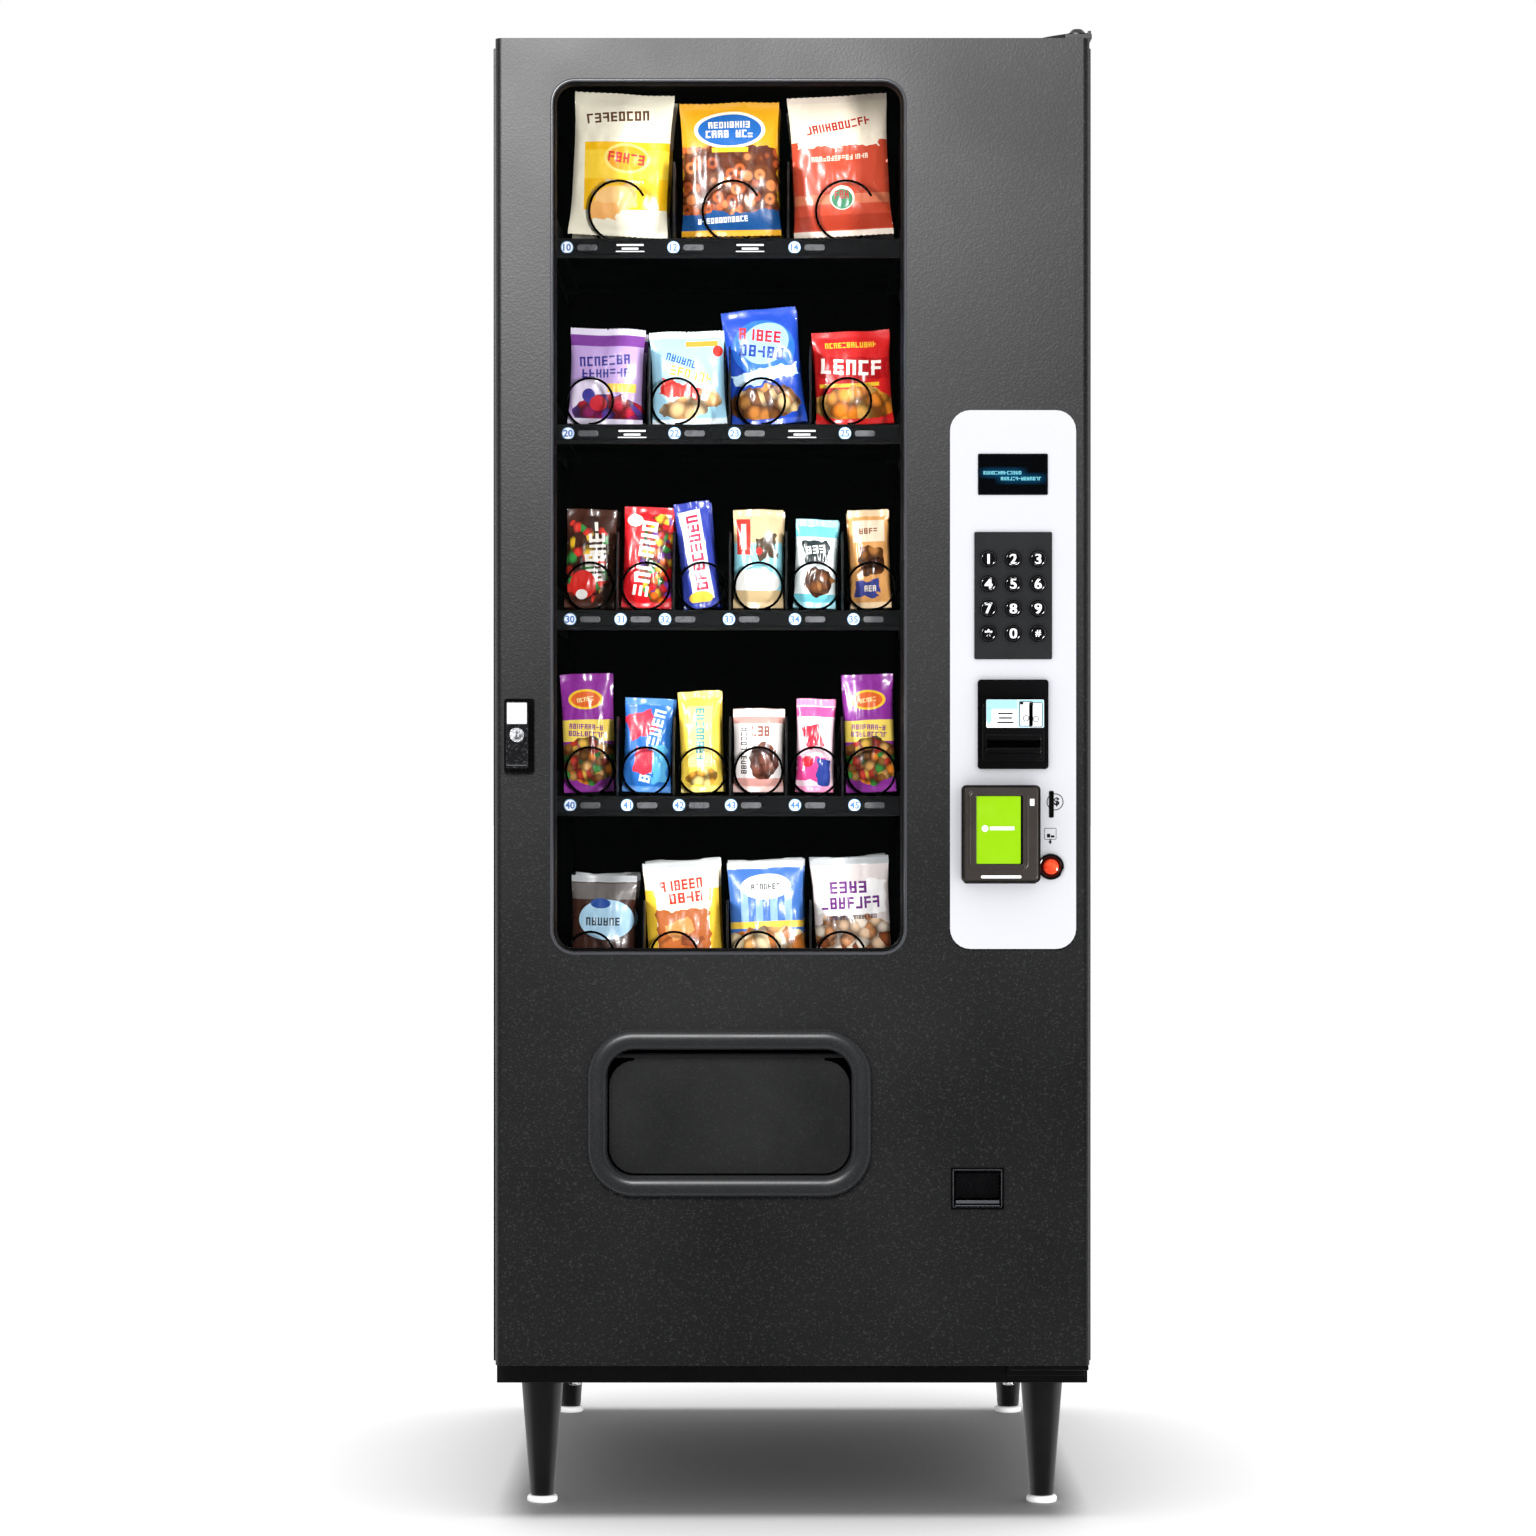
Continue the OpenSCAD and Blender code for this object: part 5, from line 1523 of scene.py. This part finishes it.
@dataclass
class PaymentPanel:
    """The white panel and everything set in it."""

    key_r: float = 10.3
    set_back: float = 0.5
    legends: tuple[str, ...] = ("1", "2", "3", "4", "5", "6", "7", "8", "9", "*", "0", "#")
    keys: tuple[str, ...] = tuple(f"key_{n}" for n in (1, 2, 3, 4, 5, 6, 7, 8, 9, "star", 0, "hash"))

    def build(self) -> None:
        """Builds the panel from its overlay outwards."""
        dressed("control_panel", "overlay", OVERLAY, "door", "panel_print", 0.7)
        self.screen()
        self.keypad()
        self.validator()
        self.reader()
        self.coins()

    def screen(self) -> None:
        """Builds the display and its thin rim."""
        dressed("display_lens", "display", SCREEN, "door", "display_glass", 0.4)
        low, high = corners("display_lens")
        rim = frame_ring([(-0.1, low.y + 1.4), (-0.1, low.y + 0.2), (0.9, low.y + 0.2), (1.3, low.y + 1.4)],
            (low.x, high.x, low.z, high.z, 0.6), 3)
        rim.solid("display_rim", BLACK, "door", "display_glass")

    def keypad(self) -> None:
        """Builds the plate and the twelve domed keys with their figures."""
        dressed("keypad_plate", "keypad_casting", CASTING, "door", "keypad_metal", 0.45)
        for legend, node in zip(self.legends, self.keys):
            low, high = corners(node)
            x, z, r = (low.x + high.x) / 2, (low.z + high.z) / 2, self.key_r
            f = low.y
            profile = [(0.0, f + 0.75), (2.6, f + 0.62), (5.0, f + 0.3), (6.6, f + 0.02), (7.6, f + 0.15),
                (8.8, f + 0.95), (9.7, f + 2.0), (r, f + 3.6), (r, high.y - 2.7), (r + 1.2, high.y - 2.6),
                (r + 1.2, high.y), (0.0, high.y)]
            lathe(profile, (x, 0, z), 40).solid(node + "_cap", KEYCAP, node, "key_plastic", [node])
            size = {"*": 21.0, "#": 11.0}.get(legend, 19.0)
            lettering(legend, size, x, f + 0.1, z, 1.0).solid(node + "_figure", WHITE, node, "key_plastic")

    def validator(self) -> None:
        """Builds the banknote validator with its label and lips."""
        dressed("bill_validator", "note_validator", GLOSS, "door", "validator_plastic", 0.7, 3)
        low, _ = corners("bill_validator")
        y = low.y
        label = plate((238.5, 309.5, 978.0, 1012.6, 1.5), y - 0.35, y + 0.3, 0.15)
        label.solid("note_label", WHITE, "door", "validator_plastic")
        blue = blocks(((238.8, y - 0.55, 1001.0), (277.0, y - 0.3, 1012.3), 0.1),
            ((238.8, y - 0.55, 987.0), (245.0, y - 0.3, 1001.5), 0.1))
        blue.add(self.arrow(241.9, y - 0.55, 981.5, 3.6))
        blue.add(block((278.0, y - 0.5, 978.6), (309.0, y - 0.3, 1012.2), 0.1))
        blue.solid("note_label_header", SKY, "door", "validator_plastic")
        notes, lines = Form(), Form()
        for x0, z0 in ((279.5, 980.0), (291.5, 979.0)):
            notes.add(block((x0, y - 0.75, z0), (x0 + 16, y - 0.5, z0 + 30), 0.1))
            lines.add(frame_ring(flat(0.7, y - 0.9, y - 0.7), (x0 + 0.4, x0 + 15.6, z0 + 0.4, z0 + 29.6, 1.2), 4))
            lines.add(frame_ring(flat(0.8, y - 0.9, y - 0.7), (x0 + 5, x0 + 11, z0 + 6.5, z0 + 12.5, 2.9), 6))
            lines.add(block((x0 + 0.6, y - 0.9, z0 + 26.5), (x0 + 4.6, y - 0.7, z0 + 29.5), 0.1))
        for i, wide in enumerate((9.0, 8.0, 10.0)):
            lines.add(block((262 - wide, y - 0.5, 994.5 - 5.5 * i), (262 + wide, y - 0.3, 996.3 - 5.5 * i), 0.1))
        notes.solid("note_pictures", WHITE, "door", "validator_plastic")
        lines.solid("note_outlines", BLACK, "door", "validator_plastic")
        lips = blocks(((237.5, y - 1.2, 963.2), (306.5, y + 4, 969.5), 1.6, 3),
            ((237.5, y - 2.6, 947.0), (306.5, y + 3, 952.6), 1.8, 3),
            ((237.5, y - 0.8, 940.0), (306.5, y + 2, 946.4), 0.8, 3))
        lips.solid("note_lips", GLOSS, "door", "validator_plastic")

    def arrow(self, x: float, y: float, z: float, half: float) -> Form:
        """Makes a small flat arrowhead that points down.

        Args:
            x: Its middle.
            y: Its front.
            z: Its tip.
            half: Its size, from the middle to a corner.

        Returns:
            The form.
        """
        form = lathe([(0.0, 0.0), (half, 0.0), (half, 0.25), (0.0, 0.25)], (0, 0, 0), 3)
        return form.place(Matrix.Rotation(math.pi / 2, 4, "Y")).move(x, y, z + half)

    def reader(self) -> None:
        """Builds the card reader with its chamfered surround, screen, light bar and mount."""
        dressed("card_reader_mount", "reader_mount", GLOSS, "door", "validator_plastic", 1.0)
        low, high = corners("card_reader")
        y = low.y + self.set_back
        housing = of_node("card_reader", 1.5, 3).move(0, self.set_back, 0)
        housing.solid("reader_housing", TAUPE, "door", "reader_plastic", ["card_reader"])
        screen = x0, x1, z0, z1, _ = (224.5, 280.5, 810.0, 894.5, 2.0)
        bevel = frame_ring([(-1.2, y + 2.2), (-0.6, y + 1.6), (4.6, y), (5.4, y + 0.6), (0.4, y + 2.6)], screen, 4)
        bevel.solid("reader_surround", GLOSS, "door", "reader_plastic")
        raised = frame_ring([(5.4, y + 0.8), (6.2, y - 0.3), (7.4, y - 0.45), (8.6, y - 0.2), (9.4, y + 0.8)], screen,
            6)
        raised.solid("reader_raised_frame", TAUPE, "door", "reader_plastic")
        pane = plate((x0 + 0.6, x1 - 0.6, z0 + 0.6, z1 - 0.6, 1.0), y + 1.7, y + 2.5, 0.2)
        pane.solid("reader_screen", LIME, "door", "reader_plastic")
        icon = Form()
        icon.add(plate((232.0, 240.0, 850.0, 858.0, 3.9), y + 1.45, y + 1.8, 0.1))
        icon.add(block((242.0, y + 1.45, 852.0), (272.0, y + 1.8, 856.5), 0.1))
        icon.add(plate((291.0, 296.5, 882.0, 890.5, 0.8), y - 0.25, y + 0.4, 0.1))
        icon.add(plate((231.0, 280.6, 792.9, 796.5, 1.6), y - 0.3, y + 0.4, 0.1))
        icon.solid("reader_marks", WHITE, "door", "reader_plastic")
        trim = frame_ring([(0.0, y + 4.8), (0.8, y + 4.4), (1.0, y + 5.4), (0.0, y + 6.2)],
            (low.x + 1.0, high.x - 1.0, low.z + 1.0, high.z - 1.0, 5.0), 6)
        trim.solid("reader_seam", BLACK, "door", "reader_plastic")

    def coins(self) -> None:
        """Builds the coin slot, its printed signs and the coin return."""
        y = corners("control_panel")[0].y
        ink = Form()
        ink.add(frame_ring(flat(1.0, y - 0.2, y + 0.1), (314.6, 333.4, 877.1, 895.9, 9.3), 8))
        ink.add(frame_ring(flat(0.6, y - 0.15, y + 0.1), (311.2, 325.0, 840.6, 853.6, 0.6), 3))
        ink.add(block((314.0, y - 0.15, 842.5), (318.0, y + 0.1, 847.0), 0.05))
        ink.add(block((318.8, y - 0.15, 842.5), (323.2, y + 0.1, 845.2), 0.05))
        ink.add(self.arrow(318.1, y - 0.15, 834.0, 2.6))
        ink.add(block((317.2, y - 0.15, 838.0), (319.0, y + 0.1, 840.4), 0.05))
        ink.add(lettering("$", 13.0, 326.0, y - 0.2, 886.5, 0.25))
        ink.solid("coin_signs", BLACK, "door", "panel_print")
        slot = frame_ring([(-0.1, y + 1.6), (-0.1, y - 0.7), (0.5, y - 1.0), (1.0, y - 0.6), (1.1, y + 0.1)],
            (317.5, 321.5, 868.0, 899.0, 0.5), 3)
        # The black plate behind the slot is painted shade for its dark inside.
        slot.add(block((317.4, y + 1.4, 867.9), (321.6, y + 1.7, 899.1)))
        slot.solid("coin_slot_rim", BLACK, "door", "panel_print")
        ring_low, ring_high = corners("coin_return_ring")
        x, z, f = (ring_low.x + ring_high.x) / 2, (ring_low.z + ring_high.z) / 2, ring_low.y
        dish = [(9.75, f + 3.2), (10.4, f + 2.6), (13.2, f + 0.9), (14.0, f + 0.1), (15.0, f), (15.9, f + 0.6),
            (16.2, f + 1.6), (16.2, ring_high.y), (9.75, ring_high.y), (9.75, f + 3.2)]
        lathe(dish, (x, 0, z), 48).solid("return_ring", GLOSS, "door", "validator_plastic", ["coin_return_ring"])
        low, high = corners("coin_return_button")
        f = low.y
        dome = [(0.0, f), (3.4, f + 0.1), (6.2, f + 0.5), (8.2, f + 1.3), (9.1, f + 2.3), (9.4, f + 3.6),
            (9.4, high.y - 5.5), (11.5, high.y - 5.4), (11.5, high.y), (0.0, high.y)]
        lathe(dome, (x, 0, z), 48).solid("return_button", ACRYLIC, "coin_return_button", "button_red",
            ["coin_return_button"])


# ---- lock ----


@dataclass
class Lock:
    """The pop-out handle lock with its key cylinder, shaft and cam."""

    at: tuple[float, float] = (-339.6, 969.0)

    def build(self) -> None:
        """Builds the lock."""
        dressed("lock_housing", "lock_case", GLOSS, "door", "lock_black", 0.8, 3)
        dressed("lock_handle", "pop_handle", LOCK_COAT, "lock_handle", "lock_black", 0.9, 3)
        low, high = corners("lock_handle")
        x, z = self.at
        y = low.y
        top = plate((low.x + 1.2, high.x - 1.2, high.z - 27.5, high.z - 1.2, 1.2), y - 0.45, y + 0.3, 0.25)
        top.solid("handle_plate", SILVER_PRINT, "lock_handle", "lock_black")
        # The ridge is coloured with the painted highlight grey, a light line along the handle's foot.
        ridge = block((low.x + 1.0, y - 0.7, low.z + 3.0), (high.x - 1.0, y + 0.6, low.z + 4.4), 0.5, 3)
        ridge.solid("handle_ridges", PAINTED_HIGHLIGHT_GREY, "lock_handle", "lock_black")
        c_low, c_high = corners("lock_cylinder")
        f = c_low.y
        face = lathe([(0.0, f + 0.3), (4.6, f + 0.3), (5.2, f), (7.0, f), (7.4, f + 0.6), (8.4, f + 0.6),
            (8.8, f + 0.1), (9.2, f + 0.3), (9.4, f + 1.2), (9.4, c_high.y), (0.0, c_high.y)], (x, 0, z), 40)
        face.solid("key_cylinder", LOCK_FACE, "lock_cylinder", "lock_steel", ["lock_cylinder"])
        # The keyway is a black strip, painted shade for the slot's dark inside.
        way = block((x - 0.9, f + 0.1, z - 4.2), (x + 0.9, f + 0.6, z + 4.2), 0.2)
        way.solid("keyway", BLACK, "lock_cylinder", "lock_steel")
        dressed("latch_cam", "cam_and_shaft", ZINC, "latch", "strike_zinc", 0.8, 3)


# Die-cast zinc under a coarse black coat, with lighter flecks painted on the pebble peaks as highlights. Its pebbles
# are drawn at 2.4 mm, so that they show.
LOCK_COAT = Finish("coarse_coated_zinc", "#141416", 0.34, 0.0, "#1d1d20", 20, 0.5, 2.4, 0.16, tips=0.35,
    tip_colour="#6a6b70")
# Silver-grey crinkled print on the handle's thumb plate, with white flecks painted on the crinkle peaks as highlights.
SILVER_PRINT = Finish("crinkled_silver_print", "#d6d7d9", 0.45, 0.0, "#c4c5c8", 9, 0.7, 2.2, 0.12, tips=0.5,
    tip_colour="#f4f4f5")
# Blackened cylinder face, metallic, with light flecks painted on its grain peaks as highlights.
LOCK_FACE = Finish("blackened_brass", "#4a4b4e", 0.3, 0.8, "#8b8c90", 5, 0.9, 2.0, 0.1, tips=0.7, tip_colour="#e8e8ea")


# ---- studio ----


@dataclass
class Studio:
    """The pale floor, the soft lights and the camera."""

    distance: float = 5.0
    eye_x: float = -0.0303
    eye_z: float = 0.9283
    field: float = 1.897
    floor_light: float = 8.0
    floor_light_spread: float = 30.0

    def build(self) -> None:
        """Builds the set."""
        self.floor()
        self.sky()
        self.lights()
        self.camera()

    def sheet(self, name: str, size: float, paint: Finish, place: Sequence[float], upright: bool) -> bpy.types.Object:
        """Stands a flat square sheet in the studio.

        Args:
            name: The sheet's name.
            size: Half its side.
            paint: Its surface.
            place: Its middle.
            upright: True if it stands, False if it lies.

        Returns:
            The sheet.
        """
        mesh = bpy.data.meshes.new(name)
        bm = bmesh.new()
        turn = Matrix.Rotation(math.pi / 2 if upright else 0.0, 4, "X")
        bmesh.ops.create_grid(bm, x_segments=4, y_segments=4, size=size, matrix=Matrix.Translation(place) @ turn)
        bm.to_mesh(mesh)
        bm.free()
        mesh.materials.append(paint.material())
        made = stand(name, mesh)
        return made

    def floor(self) -> None:
        """Lays the pale floor and hangs a black cloth in front, which only polished surfaces see."""
        # Matt pale studio paint: even, with barely any sheen.
        paint = Finish("matt_pale_floor_paint", "#a0a0a0", 0.9, 0.0, "#9d9d9d", 600, 0.3, 4.0, 0.0)
        floor = self.sheet("floor", 60.0, paint, (0.0, 0.0, 0.0), False)
        floor.visible_glossy = False
        cloth = Finish("black_velvet", "#020202", 0.95, 0.0, "#020202", 600, 0.1, 4.0, 0.0, rough_spread=0.0)
        card = self.sheet("dark_cloth", 40.0, cloth, (0.0, -9.0, 0.0), True)
        card.visible_camera = card.visible_shadow = card.visible_diffuse = False
        sun = bpy.data.lights.new("floor_light", "SUN")
        sun.energy, sun.angle = self.floor_light, math.radians(self.floor_light_spread)
        stand("floor_light", sun).light_linking.receiver_collection = self.group("lit_floor", [floor])

    def group(self, name: str, members: Iterable[bpy.types.Object]) -> bpy.types.Collection:
        """Gathers the objects that a light is to fall on.

        Args:
            name: The group's name.
            members: The objects.

        Returns:
            The group.
        """
        made = bpy.data.collections.new(name)
        for member in members:
            made.objects.link(member)
        return made

    def worn(self, *slots: str) -> list[bpy.types.Object]:
        """Returns the shown pieces in the given material slots."""
        return [o for o in bpy.context.scene.objects if o.get("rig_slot") in slots]

    def sky(self) -> None:
        """Surrounds the set with even white light."""
        world = bpy.data.worlds.new("white_room")
        world.use_nodes = True
        ground = world.node_tree.nodes["Background"]
        ground.inputs["Color"].default_value = (1.0, 1.0, 1.0, 1.0)
        ground.inputs["Strength"].default_value = 1.0
        bpy.context.scene.world = world
        bpy.context.scene.view_settings.view_transform = "Standard"

    def lamp(self, name: str, place: Sequence[float], target: Sequence[float], size: Sequence[float],
        power: float) -> bpy.types.Object:
        """Hangs a rectangular soft light.

        Args:
            name: The light's name.
            place: Where it hangs.
            target: What it points at.
            size: Its width and height.
            power: Its power in watts.

        Returns:
            The light.
        """
        data = bpy.data.lights.new(name, "AREA")
        data.shape, data.size, data.size_y, data.energy = "RECTANGLE", size[0], size[1], power
        made = stand(name, data)
        made.location = place
        made.rotation_euler = (Vector(target) - Vector(place)).to_track_quat("-Z", "Y").to_euler()
        return made

    def lights(self) -> None:
        """Hangs the light that sheens the door and the lights that fall on the packs."""
        sheen = self.lamp("sheen", (-0.5, -2.9, 2.45), (-0.12, -0.43, 1.7), (1.5, 0.7), 112)
        sheen.visible_diffuse = False
        sheen.light_linking.receiver_collection = self.group("sheened",
            self.worn("cabinet_paint", "bezel_plastic", "frame_paint"))
        small = self.group("glinting", self.worn("key_plastic", "validator_plastic", "reader_plastic", "button_red",
            "lock_black", "lock_steel", "bolt_zinc", "glide_nylon"))
        for name, place, size, power in (("glint_right", (1.7, -1.3, 0.15), (0.6, 0.6), 45),
            ("glint_left", (-1.7, -1.5, 2.3), (0.5, 0.5), 30)):
            self.lamp(name, place, (0.1, -0.43, 0.9), size, power).light_linking.receiver_collection = small
        bright = self.group("bright_metal", self.worn("bolt_zinc", "glide_nylon", "lock_steel"))
        self.lamp("metal_light", (0.3, -5.2, 0.7), (0.1, -0.43, 0.5), (2.4, 1.2),
            160).light_linking.receiver_collection = bright
        marks = [bpy.data.objects[name] for name in ("badge_faces", "badge_rims", "badge_numbers", "price_tabs",
            "rail_notices")]
        packs = self.group("lit_packs", self.worn("pack_film") + marks)
        for name, x, z, power in (("packs_left", -1.6, 1.9, 180), ("packs_right", 1.1, 1.3, 130)):
            light = self.lamp(name, (x, -3.6, z), (-0.08, -0.25, 1.25), (0.35, 0.9), power)
            light.light_linking.receiver_collection = packs

    def camera(self) -> None:
        """Sets the camera square on, at the height of the machine's middle."""
        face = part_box("door_shell")[0].y
        data = bpy.data.cameras.new("camera")
        data.sensor_width = 36.0
        data.lens = data.sensor_width * self.distance / self.field
        data.clip_end = 200.0
        made = stand("camera", data)
        made.location = (self.eye_x, face - self.distance, self.eye_z)
        made.rotation_euler = (math.pi / 2, 0, 0)
        bpy.context.scene.camera = made


def dress_left_over() -> None:
    """Gives every CAD node that still shows a finish, so that none is left plain."""
    for name, made in frame["nodes"].items():
        if not made.hide_render:
            made.data.materials.clear()
            made.data.materials.append(ENAMEL.material())
            LOG.info("%s: shown as its CAD node", name)


def main() -> None:
    """Builds every sub-assembly in order, then the set round them."""
    logging.basicConfig(level=logging.INFO, format="%(name)s: %(message)s")
    for assembly in (Cabinet(), Undercarriage(), TrayDeck(), DoorLeaf(), Window(), DeliveryHatch(), CoinCup(),
        PaymentPanel(), Lock()):
        assembly.build()
    dress_left_over()
    Studio().build()


if __name__ == "__main__":
    main()
